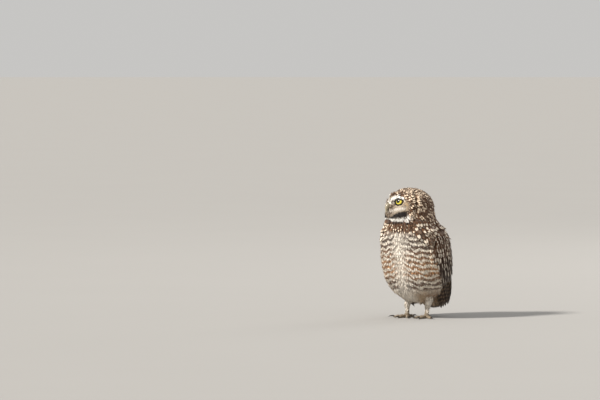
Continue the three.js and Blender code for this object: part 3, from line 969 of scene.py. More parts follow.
class Plumer:
    """Turns tracts into meshes of closed, thin, cambered vanes."""

    PATCH = 0.003

    def __init__(self, builder: Builder, seed: int = 7) -> None:
        """Takes the maker of objects and the seed of the variation from feather to feather."""
        self.builder = builder
        self.random = np.random.default_rng(seed)

    def shift(self, count: int, amount: float) -> Array:
        """Small changes either way, one to a feather."""
        return (self.random.random(count) - 0.5) * amount

    def body_vanes(
        self, name: str, tract: Tract, finish: Material, vane: Vane = Vane(), thickness: float = 0.16,
        camber: float = 0.16
    ) -> Piece:
        """A coat piece of small feathers that lie along a rounded surface.

        Args:
            name: the piece's name.
            tract: the feathers.
            finish: their material.
            vane: the form that each of them has.
            thickness: of a vane at its middle, in millimetres.
            camber: how far the edges droop, as a share of the half width.
        """
        count = len(tract.root)
        root, lie, out = (rows[:, None, :] for rows in (tract.root, tract.lie, tract.out))
        length, rise, bend = (values[:, None, None] for values in (tract.length, tract.rise, tract.bend))
        half = (tract.width[:, None] * 0.5 * vane.half()[None])[..., None]
        s, t, face = (values[None, :, None] for values in (vane.s, vane.t, vane.face))
        lift = rise * s * length - bend * (s * length) ** 2 * 0.5
        skin = face * thickness * 0.5 * np.sin(np.pi * (0.12 + 0.8 * s))
        twist = self.shift(count, 0.3)[:, None, None]
        up = lift - camber * half * t**2 + skin + twist * half * t
        points = root + lie * s * length + unit(np.cross(lie, out)) * half * t + out * up
        bar = np.zeros(points.shape[:2])
        if tract.bar_place:
            bar = tract.bar_place(points, vane.t) + self.shift(count, 0.26)[:, None]
        return self.piece(name, tract, finish, points, vane, bar)

    def piece(self, name: str, tract: Tract, finish: Material, points: Array, vane: Vane, bar: Array) -> Piece:
        """Makes a coat piece with the values that its material reads, and its OFBake map.

        Args:
            name: the piece's name.
            tract: the feathers.
            finish: their material.
            points: feathers by vertices.
            vane: the form that each feather has.
            bar: the count of bars, feathers by vertices.

        Returns:
            The new piece; the map gives each feather a small patch at its root.
        """
        count, each = points.shape[:2]
        faces = (vane.quads[None] + (np.arange(count) * each)[:, None, None]).reshape(-1, 4)
        opaque = np.ones((count, 1))
        values = {
            "luck": self.random.random(count), "ground": np.hstack([tract.ground, opaque]),
            "mark": np.hstack([tract.mark, opaque]), "pattern": tract.pattern, "spot": tract.spot,
        }
        values = {key: np.repeat(rows, each, axis=0) for key, rows in values.items()}
        values |= {"along": np.tile(vane.s, count), "across": np.tile(vane.t, count), "bar_place": bar.ravel()}
        piece = self.builder.mesh(name, points.reshape(-1, 3), faces, finish, values)
        patch = joined(vane.t * 0.5, vane.s - 0.5) * self.PATCH
        self.builder.uv(piece, (tract.place[:, None, :] + patch[None]).reshape(-1, 2))
        LOG.info("%s: %d feathers, %d triangles", name, count, 2 * len(faces))
        return piece


def scatter_rows(
    body: RoundedBody, heights: Pair, angles: Pair, step: float, random: np.random.Generator
) -> tuple[Array, Array]:
    """Staggered rows of places over part of a rounded body.

    Args:
        body: the surface.
        heights: lowest and highest z.
        angles: first and last angle.
        step: distance between places.
        random: gives each place a small change.

    Returns:
        The height and the angle of each place.
    """
    fine = np.linspace(heights[0], heights[1], 400)
    edge = body.point(fine, np.full(400, 90.0))
    travelled = np.concatenate([[0], np.cumsum(np.linalg.norm(np.diff(edge, axis=0), axis=1))])
    rows = max(int(travelled[-1] / step), 1)
    all_z, all_angle = [], []
    for row in range(rows + 1):
        z = float(np.interp(travelled[-1] * row / rows, travelled, fine))
        _, width, depth = (float(v) for v in body.section_at(np.array(z)))
        girth = np.pi * (width + depth) * (angles[1] - angles[0]) / 360.0
        count = max(int(girth / step), 1)
        shift = 0.5 * (row % 2)
        places = (np.arange(count) + shift + (random.random(count) - 0.5) * 0.5) / count
        all_angle.append(angles[0] + places * (angles[1] - angles[0]))
        all_z.append(z + (random.random(count) - 0.5) * step * 0.5)
    return np.concatenate(all_z), np.concatenate(all_angle)


@dataclass
class BodyColours:
    """Where the torso's colours and markings lie: heights in millimetres, angles in degrees."""

    collar_low: float = 150.0
    belly_top: float = 49.0
    head_turn: float = -35.0
    feather_sag: float = 2.4
    bar_distance: float = 9.4
    chin_line: float = 172.6
    throat: Pair = (174.6, 176.0)

    def bar_place(self, points: Array, across: Array) -> Array:
        """Counts the breast's bars, which sag in the middle of each feather and each flank.

        Args:
            points: places in millimetres, feathers by vertices.
            across: how far each vertex is from its feather's shaft, -1 to 1.
        """
        x, y, z = points[..., 0], points[..., 1], points[..., 2]
        angle = np.abs(np.arctan2(x, -(y + 2.0)))
        sag = 6.5 * np.sin(np.clip(angle * 1.6, 0, np.pi)) - 5.0 * hill(angle, 0.0, 0.3)
        wave = 1.5 * np.sin(x * 0.31 + z * 0.09) + 1.1 * np.sin(x * 0.83 - y * 0.5 + z * 0.21)
        return (z + sag + wave - self.feather_sag * across[None, :] ** 2) / self.bar_distance

    def paint(self, z: Array, angle: Array, random: np.random.Generator) -> tuple[Array, Array, Array]:
        """Colours and pattern shares of the torso at heights and angles.

        Args:
            z: heights in millimetres.
            angle: degrees from the front.
            random: small changes from feather to feather.

        Returns:
            Ground colour, mark colour, and the shares of bars, spots and tips.
        """
        n = len(z)
        signed = turn_from(angle)
        off, chin = np.abs(signed), np.abs(turn_from(angle, self.head_turn))
        jitter = random.random(n)
        breast = blend(WHITE, CREAM, 0.45 * ramp(off, 10, 60) + 0.3 * jitter)
        bar_colour = blend(BROWN, OCHRE, ramp(z, 122, 96) * (0.45 + 0.55 * jitter))
        bar_colour = blend(bar_colour, UMBER, np.maximum(ramp(z, 114, 134), 0.9 * ramp(z, 84, 64)))
        bars = (0.7 + 0.3 * ramp(off, 6, 20)) * (0.85 + 0.15 * random.random(n))
        bars *= ramp(z, self.belly_top - 5, self.belly_top + 7)
        bars *= 1 - 0.85 * hill(off, 0.0, 5.5) * ramp(z, 156, 146)
        belly = ramp(z, self.belly_top + 8, self.belly_top - 8)
        # The buff-brown further round both flanks is the bird's own colour; the one-sided share from the front
        # onto the bird's left (signed angle above -4) is painted shade.
        warm = blend(BUFF, BROWN, 0.25 + 0.5 * ramp(off, 30, 60))
        side = ramp(signed, -4, 34) + 0.6 * ramp(off, 30, 60)
        ground = blend(breast, warm, belly * np.clip(0.9 * side, 0.03, 0.9))
        collar_edge = self.collar_low - 20.0 * ramp(off, 24, 58) + 2.0 * np.sin(off * 0.35)
        collar = ramp(z, collar_edge - 3, collar_edge + 3)
        back = ramp(off, 84, 100) * ramp(z, 50, 66)
        ground = blend(ground, blend(BROWN, UMBER, 0.3 + 0.6 * jitter), collar)
        ground = blend(ground, blend(BROWN, UMBER, 0.35 + 0.65 * jitter), back)
        vent = ramp(off, 96, 120) * ramp(z, 62, 48)
        ground = blend(ground, BUFF, vent * 0.8)
        dark = np.maximum(collar, back)
        bars = bars * (1 - dark) * (1 - vent)
        shoulder = ramp(off, 24, 45) * ramp(z, 176, 164)
        spots = dark * np.where(random.random(n) < 0.3 + 0.55 * shoulder, 0.95, 0.05)
        tips = 0.3 * (1 - dark) + 0.2 * dark
        line = hill(z, self.chin_line, 1.7) * ramp(chin, 82, 60)
        throat = ramp(z, *self.throat) * ramp(chin, 70, 52)
        ground = blend(blend(ground, DARK, line * 0.9), WHITE, throat)
        spots = spots * (1 - line) * (1 - throat)
        return ground, bar_colour, joined(bars, spots, tips)

    def spot(self, angle: Array) -> Array:
        """Spot shapes: larger and longer on the shoulders than on the collar and back."""
        off = np.abs(turn_from(angle))
        shoulder = ramp(off, 24, 45) * ramp(off, 125, 95)
        return joined(0.0, 0.42 + 0.22 * shoulder, 0.78 - 0.08 * shoulder)


@dataclass
class TorsoCoat:
    """The feathers of the breast, belly, back and neck."""

    body: RoundedBody
    plumer: Plumer
    colours: BodyColours = field(default_factory=BodyColours)
    step: float = 4.2
    length: float = 14.0
    width: float = 9.4

    ROOTED = 3.3
    SHOWN = 0.74
    LAYERS = (
        ("coat_belly", (32.5, 84.0), (-180.0, 180.0), 0.86),
        ("coat_breast", (82.0, 158.0), (-95.0, 95.0), 1.0),
        ("coat_back", (84.0, 158.0), (95.0, 265.0), 1.0),
        ("coat_neck", (156.0, 178.0), (-180.0, 180.0), 0.92),
    )
    FRINGES = (
        ("fringe_belly", (34.0, 84.0), (-115.0, 115.0)),
        ("fringe_breast_right", (82.0, 158.0), (-90.0, 0.0)),
        ("fringe_breast_left", (82.0, 158.0), (0.0, 90.0)),
    )

    def tract(self, heights: Pair, angles: Pair, scale: float = 1.0) -> Tract:
        """The feathers over part of the torso.

        Args:
            heights: lowest and highest root.
            angles: first and last angle of the roots.
            scale: size of these feathers against the usual.
        """
        random = self.plumer.random
        z, angle = scatter_rows(self.body, heights, angles, self.step * scale, random)
        n, shift = len(z), self.plumer.shift
        around, up, out = self.body.frame_at(z, angle)
        sweep = 0.32 * np.sin(np.radians(turn_from(angle))) + shift(n, 0.24)
        small = 1.0 - 0.3 * ramp(z, 150, 174)
        shown = z - self.SHOWN * self.length * scale * small
        ground, mark, pattern = self.colours.paint(shown, angle, random)
        (low, high), (first, last) = heights, angles
        return Tract(
            root=self.body.point(z, angle, -self.ROOTED * small), lie=unit(-up + around * sweep[:, None]),
            out=out, length=self.length * scale * small * (1.0 + shift(n, 0.3)),
            width=self.width * scale * small * (1.0 + shift(n, 0.3)), rise=0.3 * (1.0 + shift(n, 0.5)),
            bend=0.013, place=bake_place((angle - first) / (last - first), (z - low) / (high - low)),
            ground=ground, mark=mark, pattern=pattern, bar_place=self.colours.bar_place,
            spot=self.colours.spot(angle),
        )

    def fringe(self, heights: Pair, angles: Pair) -> Tract:
        """Loose narrow plumes that soften the edges of the barred and pale feathers.

        Args:
            heights: the lowest and the highest root.
            angles: the first and the last angle.

        Returns:
            The feathers.
        """
        fine = replace(self, colours=replace(self.colours, feather_sag=0.3), step=2.1, length=10.0, width=1.7)
        tract = fine.tract(heights, angles)
        n = len(tract.root)
        tract.root = tract.root + tract.out * 1.7
        sway = unit(np.cross(tract.lie, tract.out)) * self.plumer.shift(n, 0.7)[:, None]
        tract.lie = unit(tract.lie + sway)
        tract.length = tract.length * (0.7 + 0.6 * self.plumer.random.random(n))
        return tract.keep(tract.pattern[:, 1] < 0.04)

    def cape(self, side: Side) -> Tract:
        """Larger feathers of the shoulder, each with one long pale spot."""
        angles = (36.0, 182.0) if side is Side.LEFT else (-182.0, -40.0)
        tract = replace(self, step=6.4, length=17.0, width=11.0).tract((146.0, 176.0), angles)
        behind = ramp(np.abs(np.degrees(np.arctan2(tract.root[:, 0], -(tract.root[:, 1] + 12.0)))), 70, 105)
        tract.root = tract.root + tract.out * (1.3 + 2.4 * behind)[:, None]
        tract.length = tract.length * 1.15
        tract.width = tract.width * 1.1
        random, n = self.plumer.random, len(tract.root)
        luck = random.random(n)
        aside = random.random(n) - 0.5
        tract.spot = joined(0.9 * aside, 0.28 + 0.16 * luck, 0.78 - 0.2 * random.random(n))
        spotted = tract.pattern[:, 1] > 0.02
        tract.pattern[:, 1] = np.where(luck < 0.8, 0.95, 0.1) * spotted
        return tract.keep(spotted)

    def over_wing(self, side: Side) -> Tract:
        """Narrow feathers of the flank that lie over the front edge of a folded wing."""
        angles = (58.0, 75.0) if side is Side.LEFT else (-86.0, -66.0)
        narrow = replace(self, colours=replace(self.colours, feather_sag=0.6), step=2.6, length=12.0, width=3.4)
        tract = narrow.tract((92.0, 160.0), angles)
        around = np.cross(tract.out, tract.lie) * side.value
        sway = 0.1 + 0.3 * self.plumer.random.random((len(tract.root), 1))
        tract.lie = unit(tract.lie - around * sway)
        tract.root = tract.root + tract.out * 2.6
        return tract

    def build(self, finish: Material, collar: Material, cape: Material) -> list[Piece]:
        """The coat's pieces, from the belly to the neck, then the layers that lie over them."""
        pieces = []
        for name, heights, angles, scale in self.LAYERS:
            barred = name in ("coat_belly", "coat_breast")
            tract = self.tract(heights, angles, scale)
            piece = self.plumer.body_vanes(name, tract, finish if barred else collar)
            pieces.append(piece)
        for name, heights, angles in self.FRINGES:
            piece = self.plumer.body_vanes(name, self.fringe(heights, angles), finish, Vane(4, 2), 0.12, 0.1)
            pieces.append(piece)
        for side in Side:
            piece = self.plumer.body_vanes(f"shoulder_cape_{side.label}", self.cape(side), cape)
            pieces.append(piece)
            piece = self.plumer.body_vanes(f"flank_over_wing_{side.label}", self.over_wing(side), collar)
            pieces.append(piece)
        return pieces


@dataclass
class VentCoat:
    """Soft buff feathers that run from the rear of the belly under the tail and wings."""

    body: RoundedBody
    plumer: Plumer
    heights: Pair = (36.0, 70.0)
    angles: Pair = (122.0, 238.0)
    step: float = 3.6
    length: float = 17.0
    width: float = 7.0

    def build(self, finish: Material) -> Piece:
        """One piece behind and between the legs.

        Args:
            finish: the material.

        Returns:
            The new piece.
        """
        random = self.plumer.random
        z, angle = scatter_rows(self.body, self.heights, self.angles, self.step, random)
        n = len(z)
        _, up, out = self.body.frame_at(z, angle)
        side = np.abs(angle - 180.0) / 75.0
        drop = joined(0.25 * np.sin(np.radians(angle)), 0.62, -0.95)
        lie = unit(unit(drop) + 0.35 * side[:, None] * -up)
        jitter = random.random(n)
        ground = blend(blend(BUFF, CREAM, 0.7 * jitter), BROWN, 0.45 * ramp(side, 0.35, 0.75))
        ground = blend(ground, UMBER, 0.9 * ramp(z, 46, 54))
        tract = Tract(
            root=self.body.point(z, angle, -3.0), lie=lie, out=flattened(out, lie),
            length=self.length * (0.8 + 0.4 * jitter), width=self.width, rise=0.1, bend=0.01,
            place=bake_place((angle - 105.0) / 150.0, (z - 36.0) / 38.0), ground=ground,
            pattern=(0.0, 0.0, 0.3),
        )
        piece = self.plumer.body_vanes("coat_vent", tract, finish)
        return piece


@dataclass(frozen=True)
class HeadPatch:
    """One piece of the head's coat: where it lies and how fine it is.

    Elevations and turns are in degrees, the distance between feathers in millimetres, and
    sizes against the usual length and width. Its vanes have a number of steps along and
    across, and a thickness.
    """

    name: str
    step: float
    elevations: Pair
    widest: float
    turns: Pair
    length: float
    width: float
    vane: Vane = Vane(5, 3)
    thickness: float = 0.14
    on_face: bool = False


@dataclass
class HeadCoat:
    """The short feathers of the crown, the sides of the head and the face."""

    head: HeadForm
    plumer: Plumer
    length: float = 7.6
    width: float = 3.3
    depth: float = 1.9
    bare_eye: Triple = (8.3, 3.7, 7.3)

    PATCHES = (
        HeadPatch("coat_head_sides", 2.9, (-29.0, 88.0), 180.0, (38.0, 999.0), 1.3, 1.7),
        HeadPatch("coat_crown", 2.4, (0.0, 88.0), 180.0, (-999.0, 52.0), 1.2, 1.45),
        HeadPatch("coat_face", 1.15, (-29.0, 34.0), 70.0, (0.0, 70.0), 0.62, 0.52, Vane(4, 2), 0.12, True),
    )

    def places(self, patch: HeadPatch) -> tuple[Array, Array]:
        """Staggered places over a patch, as azimuth and elevation in radians.

        Args:
            patch: the patch of the head.

        Returns:
            Azimuths and elevations, in radians.
        """
        random = self.plumer.random
        low, high = patch.elevations
        mean, widest_radius = 38.0, 41.0
        span = 2 * np.radians(patch.widest)
        rows = int(np.radians(high - low) * mean / patch.step)
        azimuths, elevations = [], []
        for row in range(rows + 1):
            elevation = np.radians(low + (high - low) * row / rows)
            count = max(int(span * widest_radius * np.cos(elevation) / patch.step), 1)
            spots = (np.arange(count) + 0.5 * (row % 2) + (random.random(count) - 0.5) * 0.6) / count
            azimuths.append(spots * span - span / 2)
            elevations.append(elevation + (random.random(count) - 0.5) * 0.6 * patch.step / mean)
        return np.concatenate(azimuths), np.clip(np.concatenate(elevations), -1.5, 1.54)

    def disc_share(self, azimuth: Array, elevation: Array) -> Array:
        """1 inside the facial disc, falling to 0 at its rim."""
        across = np.degrees(np.abs(azimuth)) / 63.0
        level = np.degrees(elevation)
        along = np.where(level > 8, (level - 8) / 18.0, (level - 8) / 52.0)
        return ramp(across**2 + along**2, 1.12, 0.9)

    def lie(self, points: Array, normal: Array, disc: Array) -> Array:
        """The direction that the feathers lie in, in the head's own frame.

        Args:
            points: places in the head's own frame.
            normal: the surface's directions outwards.
            disc: the share of the facial disc at each place.

        Returns:
            One direction to a feather.
        """
        x, y, z = points[:, 0], points[:, 1], points[:, 2]
        fall = 0.3 + 1.3 * ramp(y, -5, 38) + 0.9 * ramp(z, 22, -8)
        over = joined(0.25 * x / 40.0, 1.0, -fall)
        side = np.where(x >= 0, 1.0, -1.0)
        eye = joined(side * self.head.eye_out, -34.0, self.head.eye_height)
        from_eye = unit(points - eye)
        from_eye[:, 2] -= 0.35 * ramp(z, 0, -18)
        return flattened(blend(unit(over), from_eye, disc), normal)

    def paint(self, azimuth: Array, elevation: Array, points: Array) -> tuple[Array, Array, Array]:
        """Colours and pattern shares over the head.

        Args:
            azimuth: turn from the face, in radians.
            elevation: angle above the level, in radians.
            points: the places in the head's own frame.

        Returns:
            Ground colour, mark colour, and the shares of bars, spots and tips.
        """
        random = self.plumer.random
        n = len(azimuth)
        jitter = random.random(n)
        turn = np.degrees(np.abs(azimuth))
        x, z = np.abs(points[:, 0]), points[:, 2]
        fore = ramp(turn, 56, 30) * ramp(z, 15, 19)
        nape = ramp(turn, 82, 122) * ramp(z, 20, -2)
        ground = blend(HAIR_BROWN, UMBER, 0.3 + 0.7 * jitter)
        ground = blend(blend(ground, UMBER, fore * 0.7), UMBER, nape * 0.8)
        spots = np.where(random.random(n) < 0.68, 0.8 + 0.2 * random.random(n), 0.0)
        tips = np.where(random.random(n) < 0.4, 0.5, 0.1) * (1 - 0.6 * np.maximum(nape, fore))
        spots = spots * np.where(random.random(n) < 0.45 * np.maximum(nape, fore), 0.1, 1.0)
        disc = self.disc_share(azimuth, elevation)
        face = blend(GREY_BUFF, BUFF, ramp(turn, 38, 58) * 0.7)
        streak = hill(z, 0.12 * turn - 9.0, 3.2) * ramp(turn, 62, 50)
        face = blend(face, WHITE, np.clip(0.85 * streak + 0.18 * jitter, 0, 1))
        lores = ramp(turn, 30, 14) * ramp(z, 7, 2)
        face = blend(face, UMBER, lores * np.where(random.random(n) < 0.5, 0.85, 0.1))
        ground = blend(ground, face, disc)
        arch = 17.6 - 6.0 * ((turn - 28.0) / 21.0) ** 2
        thick = 3.2 - 1.4 * ramp(turn, 36, 58) + 0.8 * ramp(turn, 16, 4)
        brow = hill(z, arch, thick, 4) * ramp(turn, 66, 58)
        ground = blend(ground, blend(BRIGHT, BUFF, ramp(turn, 44, 58)), brow)
        patch = hill(turn, 9.0, 9.0) * hill(z, 7.5, 3.6)
        ground = blend(ground, WHITE, np.clip(patch * 1.2, 0, 1))
        pale = np.clip(brow + patch, 0, 1)
        band_height = -20.0 + 7.0 * ramp(turn, 4, 60) + 1.8 * (random.random(n) - 0.5)
        half = 1.6 + 4.2 * ramp(turn, 8, 44)
        band = hill(z, band_height, half, 4) * ramp(turn + 8 * jitter, 70, 60) * ramp(turn, 1, 8)
        ground = blend(ground, BLACK_BROWN, np.clip(band * 1.2, 0, 1))
        chin = ramp(band_height - z, half * 0.8, half + 1.2) * ramp(turn, 76, 60)
        ground = blend(ground, BRIGHT, chin)
        under = ramp(z, -25.2, -27.0) * ramp(turn, 84, 64)
        collar = blend(blend(BROWN, UMBER, 0.2 + 0.6 * jitter), DARK, 0.85 * hill(z, -27.6, 1.4))
        ground = blend(ground, collar, under)
        # Painted shade: a black-brown spot on the feathers at the eye's inner corner, where the brow shades it.
        corner = hill(x, 11.6, 3.8) * hill(z, 10.0, 1.8) * (turn < 60)
        ground = blend(ground, BLACK_BROWN, np.clip(corner * 1.4, 0, 1))
        rim = hill(disc, 0.45, 0.3) * (1 - pale) * ramp(z, -26, -16)
        ground = blend(ground, DARK, rim * 0.5 * jitter)
        plain = np.clip(disc + pale + chin + band + under * 0.6, 0, 1)
        pattern = joined(0.0, spots * (1 - plain), tips * (1 - plain) + 0.2 * disc)
        return ground, np.tile(DARK, (n, 1)), pattern

    def clear_of_eyes(self, points: Array) -> Array:
        """True where a feather's root, in the head's own frame, isn't over an eye."""
        wide, high, low = self.bare_eye
        keep = np.ones(len(points), bool)
        for side in Side:
            gaze, across, up = self.head.eye_axes(side)
            off = points - self.head.eye_centre(side)
            level, rise = off @ across, off @ up
            tall = np.where(rise > 0, high, low)
            keep &= ~((off @ gaze > 0) & ((level / wide) ** 2 + (rise / tall) ** 2 < 1.0))
        return keep

    def clear_of_bill(self, points: Array) -> Array:
        """True where a feather's root isn't on the bill."""
        x, z = points[:, 0], points[:, 2]
        front = points[:, 1] < -30
        return ~(front & (np.abs(x) < 4.6) & (z < 8.5) & (z > -7.0))

    def tract(self, azimuth: Array, elevation: Array, patch: HeadPatch) -> Tract:
        """The feathers of a patch at given places, coloured by where each one shows.

        Args:
            azimuth: turn of each root from the face, in radians.
            elevation: angle of each root above the level, in radians.
            patch: gives their size.
        """
        points = self.head.point(azimuth, elevation, -self.depth)
        normal = self.head.normal(azimuth, elevation)
        n, shift = len(azimuth), self.plumer.shift
        flow = self.lie(points, normal, self.disc_share(azimuth, elevation))
        flow = unit(flow + np.cross(normal, flow) * shift(n, 0.35)[:, None])
        length = self.length * patch.length * (1.0 + shift(n, 0.3))
        shown = points + flow * (length * 0.72)[:, None]
        shown_turn = np.arctan2(shown[:, 0], -shown[:, 1])
        shown_rise = np.arctan2(shown[:, 2], np.hypot(shown[:, 0], shown[:, 1]))
        ground, mark, pattern = self.paint(shown_turn, shown_rise, shown)
        return Tract(
            root=self.head.to_bird(points), lie=self.head.turned(flow), out=self.head.turned(normal),
            length=length, width=self.width * patch.width * (1.0 + shift(n, 0.3)),
            rise=0.21 * (1.0 + shift(n, 0.6)), bend=0.014, ground=ground, mark=mark, pattern=pattern,
            place=bake_place(azimuth / (2 * np.pi) + 0.5, (elevation + 1.0) / 2.6), spot=(0.0, 0.62, 0.72),
        )

    def build(self, finish: Material) -> list[Piece]:
        """The coat of the sides, of the crown and of the face."""
        pieces = []
        for patch in self.PATCHES:
            azimuth, elevation = self.places(patch)
            points = self.head.point(azimuth, elevation, -self.depth)
            disc = self.disc_share(azimuth, elevation)
            keep = self.clear_of_eyes(points)
            if patch.on_face:
                keep &= (disc > 0.4) & self.clear_of_bill(points)
            else:
                turn = np.abs(np.degrees(azimuth)) + np.maximum(np.degrees(elevation), 0) * -1.2
                turn = turn + self.plumer.shift(len(azimuth), 14.0)
                keep &= (disc <= 0.5) & (turn > patch.turns[0]) & (turn < patch.turns[1])
            tract = self.tract(azimuth, elevation, patch).keep(keep)
            piece = self.plumer.body_vanes(patch.name, tract, finish, patch.vane, patch.thickness)
            pieces.append(piece)
        return pieces


@dataclass
class FacialBristles:
    """Long fine bristles, pale and dark, that spray from beside the bill."""

    head: HeadForm
    plumer: Plumer
    count: int = 170
    length: float = 9.0
    width: float = 0.75
    dark_share: float = 0.48

    def spray(self, side: Side) -> list[tuple[Array, Array, Array]]:
        """Root, direction and colour of each bristle on one side."""
        random = self.plumer.random
        bristles = []
        for _ in range(self.count):
            rise = random.uniform(-8.5, 9.0)
            root = np.array([side.value * random.uniform(3.8, 6.2), -37.5 + 0.25 * abs(rise), rise])
            aside, drop = side.value * random.uniform(0.15, 0.9), rise * 0.09 - 0.35 + random.uniform(-0.3, 0.3)
            colour = np.array(UMBER if random.random() < self.dark_share else CREAM)
            bristles.append((root, unit(np.array([aside, -0.6, drop])), colour * random.uniform(0.75, 1.05)))
        return bristles

    def build(self, finish: Material) -> Piece:
        """One piece with the bristles of both sides."""
        root, lie, ground = (np.array(rows) for rows in zip(*(b for side in Side for b in self.spray(side))))
        normal = flattened(np.tile([0.0, -1.0, 0.15], (len(root), 1)), lie)
        tract = Tract(
            root=self.head.to_bird(root), lie=self.head.turned(lie), out=self.head.turned(normal),
            length=self.length * (0.6 + 0.6 * self.plumer.random.random(len(root))), width=self.width, rise=0.0,
            bend=0.05, place=joined(0.5 + root[:, 0] / 30.0, 0.5 + root[:, 2] / 30.0), ground=ground,
            mark=DARK,
        )
        piece = self.plumer.body_vanes("face_bristles", tract, finish, Vane(5, 2), 0.2)
        return piece


@dataclass(frozen=True)
class WingTier:
    """One row of wing feathers, from its first feather to its last.

    Pairs hold the value for the first and the last feather; heights are in millimetres
    and angles in degrees from the front, on the folded wing's outer face.
    """

    name: str
    count: int
    root_height: Pair
    root_angle: Pair
    tip_height: Pair
    tip_angle: Pair
    width: Pair
    lift: Pair
    shade: float
    rows: int = 10
    sweep: float = 1.0
    bars: float = 0.0
    bar_count: float = 5.0
    spots: float = 0.95
    tips: float = 0.08
    loose: float = 2.5


@dataclass
class FoldedWing:
    """One folded wing: flight feathers, rows of coverts, scapulars and shoulder.

    The right one is tucked further under the breast feathers.
    """

    side: Side
    wrap: RoundedBody
    plumer: Plumer

    TIERS = (
        WingTier("primaries", 10, (99, 88), (72, 102), (15.5, 31), (75, 158), (11, 12.5), (-3.4, -1.2),
                 0.97, 20, sweep=1.3, bars=0.2, bar_count=11, spots=0.0, loose=1.0),
        WingTier("secondaries", 12, (98, 112), (98, 164), (36, 54), (132, 177), (13.5, 14.5), (-3.0, -0.2),
                 0.95, 18, sweep=1.2, bars=0.26, bar_count=8, spots=0.0, tips=0.12, loose=1.0),
        WingTier("primary_coverts", 9, (104, 101), (72, 100), (56, 66), (71, 106), (9.5, 10.5), (-2.8, 0.3),
                 0.96, 14, spots=0.4),
        WingTier("greater_coverts", 16, (112, 116), (72, 166), (70, 82), (70, 177), (10.5, 11.5), (-2.6, 0.9),
                 0.92, 14, sweep=1.1, spots=0.65),
        WingTier("median_coverts", 18, (122, 127), (73, 168), (86, 95), (69, 178), (10, 11), (-2.4, 1.3),
                 0.84, 12),
        WingTier("lesser_coverts", 20, (130, 137), (76, 170), (99, 107), (70, 179), (9, 10), (-2.3, 1.5),
                 0.72, 11, tips=0.15),
        WingTier("marginal_coverts", 22, (136, 146), (79, 172), (110, 118), (73, 180), (8, 9), (-2.3, 1.5),
                 0.66, tips=0.15),
        WingTier("upper_coverts", 22, (141, 154), (83, 174), (121, 129), (76, 181), (7.5, 8.5), (-2.3, 1.4),
                 0.6, spots=0.9, tips=0.15),
        WingTier("scapulars", 22, (146, 161), (87, 175), (131, 140), (81, 182), (7.5, 8), (-2.3, 1.3),
                 0.56, spots=0.85, tips=0.2),
        WingTier("shoulder", 20, (150, 168), (92, 177), (140, 150), (86, 183), (7, 8), (-2.3, 1.0),
                 0.52, spots=0.8, tips=0.2),
    )
    COLUMNS = 6
    FRONT_SHIFT = {Side.LEFT: -8.0, Side.RIGHT: 9.0}

    @staticmethod
    def outline(s: Array, long: bool) -> Array:
        """Half width along a wing feather, as a share of its widest."""
        full = np.clip(s / 0.12, 0, 1) ** 0.6 * 0.35 + 0.65
        tip = np.clip((1 - s) / (0.16 if long else 0.34), 0, 1) ** 0.55
        return np.maximum(full * tip, 0.05)

    def vanes(self, tier: WingTier, finish: Material) -> Piece:
        """The feathers of one tier as one piece.

        Args:
            tier: the tier of feathers.
            finish: the material.

        Returns:
            The new piece.
        """
        random, n = self.plumer.random, tier.count
        vane = Vane(tier.rows, self.COLUMNS)
        s, t, face = vane.s[None, :], vane.t[None, :], vane.face[None, :]
        share = (np.arange(n) / (n - 1))[:, None]

        def between(pair: Pair) -> Array:
            """A value for each feather, from the first's to the last's."""
            return pair[0] + (pair[1] - pair[0]) * share

        def vary(amount: float) -> Array:
            """A small change either way for each feather."""
            return (random.random((n, 1)) - 0.5) * 2 * amount

        root = between(tier.root_height)
        fall = between(tier.tip_height) - root
        z = root + (between(tier.tip_height) + vary(tier.loose) - root) * s
        shift = self.FRONT_SHIFT[self.side] * (1 - share) ** 1.5
        start = between(tier.root_angle) + shift
        turn = between(tier.tip_angle) + vary(0.8 * tier.loose) + shift - start
        angle = start + turn * s**tier.sweep
        base = self.wrap.point(z, angle)
        ahead = self.wrap.point(z + fall * 0.02, start + turn * np.minimum(s + 0.02, 1.2) ** tier.sweep)
        _, _, out = self.wrap.frame_at(z, angle)
        lie = unit(ahead - base)
        step = (np.arange(n) % 2)[:, None] * 0.35
        height = tier.lift[0] + (tier.lift[1] - tier.lift[0]) * s + step * s
        half = between(tier.width) * 0.5 * self.outline(s, tier.rows > 12)
        thick = face * 0.16 * (1 - 0.4 * s)
        notch = 0.35 * np.sin(s * 40 + vary(3)) * (np.abs(t) > 0.95) * ramp(s, 0.3, 0.6)
        points = (
            base
            + out * (height + (0.14 * t - 0.1 * t**2) * half + thick)[..., None]
            + unit(np.cross(lie, out)) * (half * t + notch * np.sign(t))[..., None]
        )
        points[..., 0] *= self.side.value
        if self.side is Side.RIGHT:
            vane.quads = vane.quads[:, ::-1]
        # The ground darkens from the shoulder down to the flight feathers by each tier's shade: partly the
        # flight feathers' own darker brown, partly painted shade low on the folded wing.
        ground = blend(BROWN, UMBER, tier.shade * (0.6 + 0.4 * random.random(n)))
        ground = blend(ground, BLACK_BROWN, np.full(n, max(1.5 * (tier.shade - 0.4), 0.0)))
        spotted = tier.spots * np.where(random.random(n) < 0.75, 1.0, 0.15)
        aside = 0.9 * (random.random(n) - 0.5)
        wide = 0.24 + 0.16 * random.random(n) + (0.24 if tier.shade < 0.8 else 0.0)
        spot = joined(aside, wide, 0.87 - 0.1 * random.random(n))
        pattern = joined(tier.bars, spotted, tier.tips)
        place = 0.05 + 0.9 * joined(share[:, 0], (z.mean(axis=1) - 12) / 150)
        tract = Tract(
            root=points[:, 0], lie=lie[:, 0], out=out[:, 0],
            place=np.clip(place, 0.01, 0.99), ground=ground, mark=BUFF, pattern=pattern, spot=spot,
        )
        bar = s * tier.bar_count + vary(0.1)
        name = f"wing_{self.side.label}_{tier.name}"
        return self.plumer.piece(name, tract, finish, points, vane, bar)

    def build(self, finish: Material) -> list[Piece]:
        """Every tier, from the long feathers outwards."""
        pieces = []
        for tier in self.TIERS:
            piece = self.vanes(tier, finish)
            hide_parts(f"wing_{self.side.label}")
            pieces.append(piece)
        return pieces


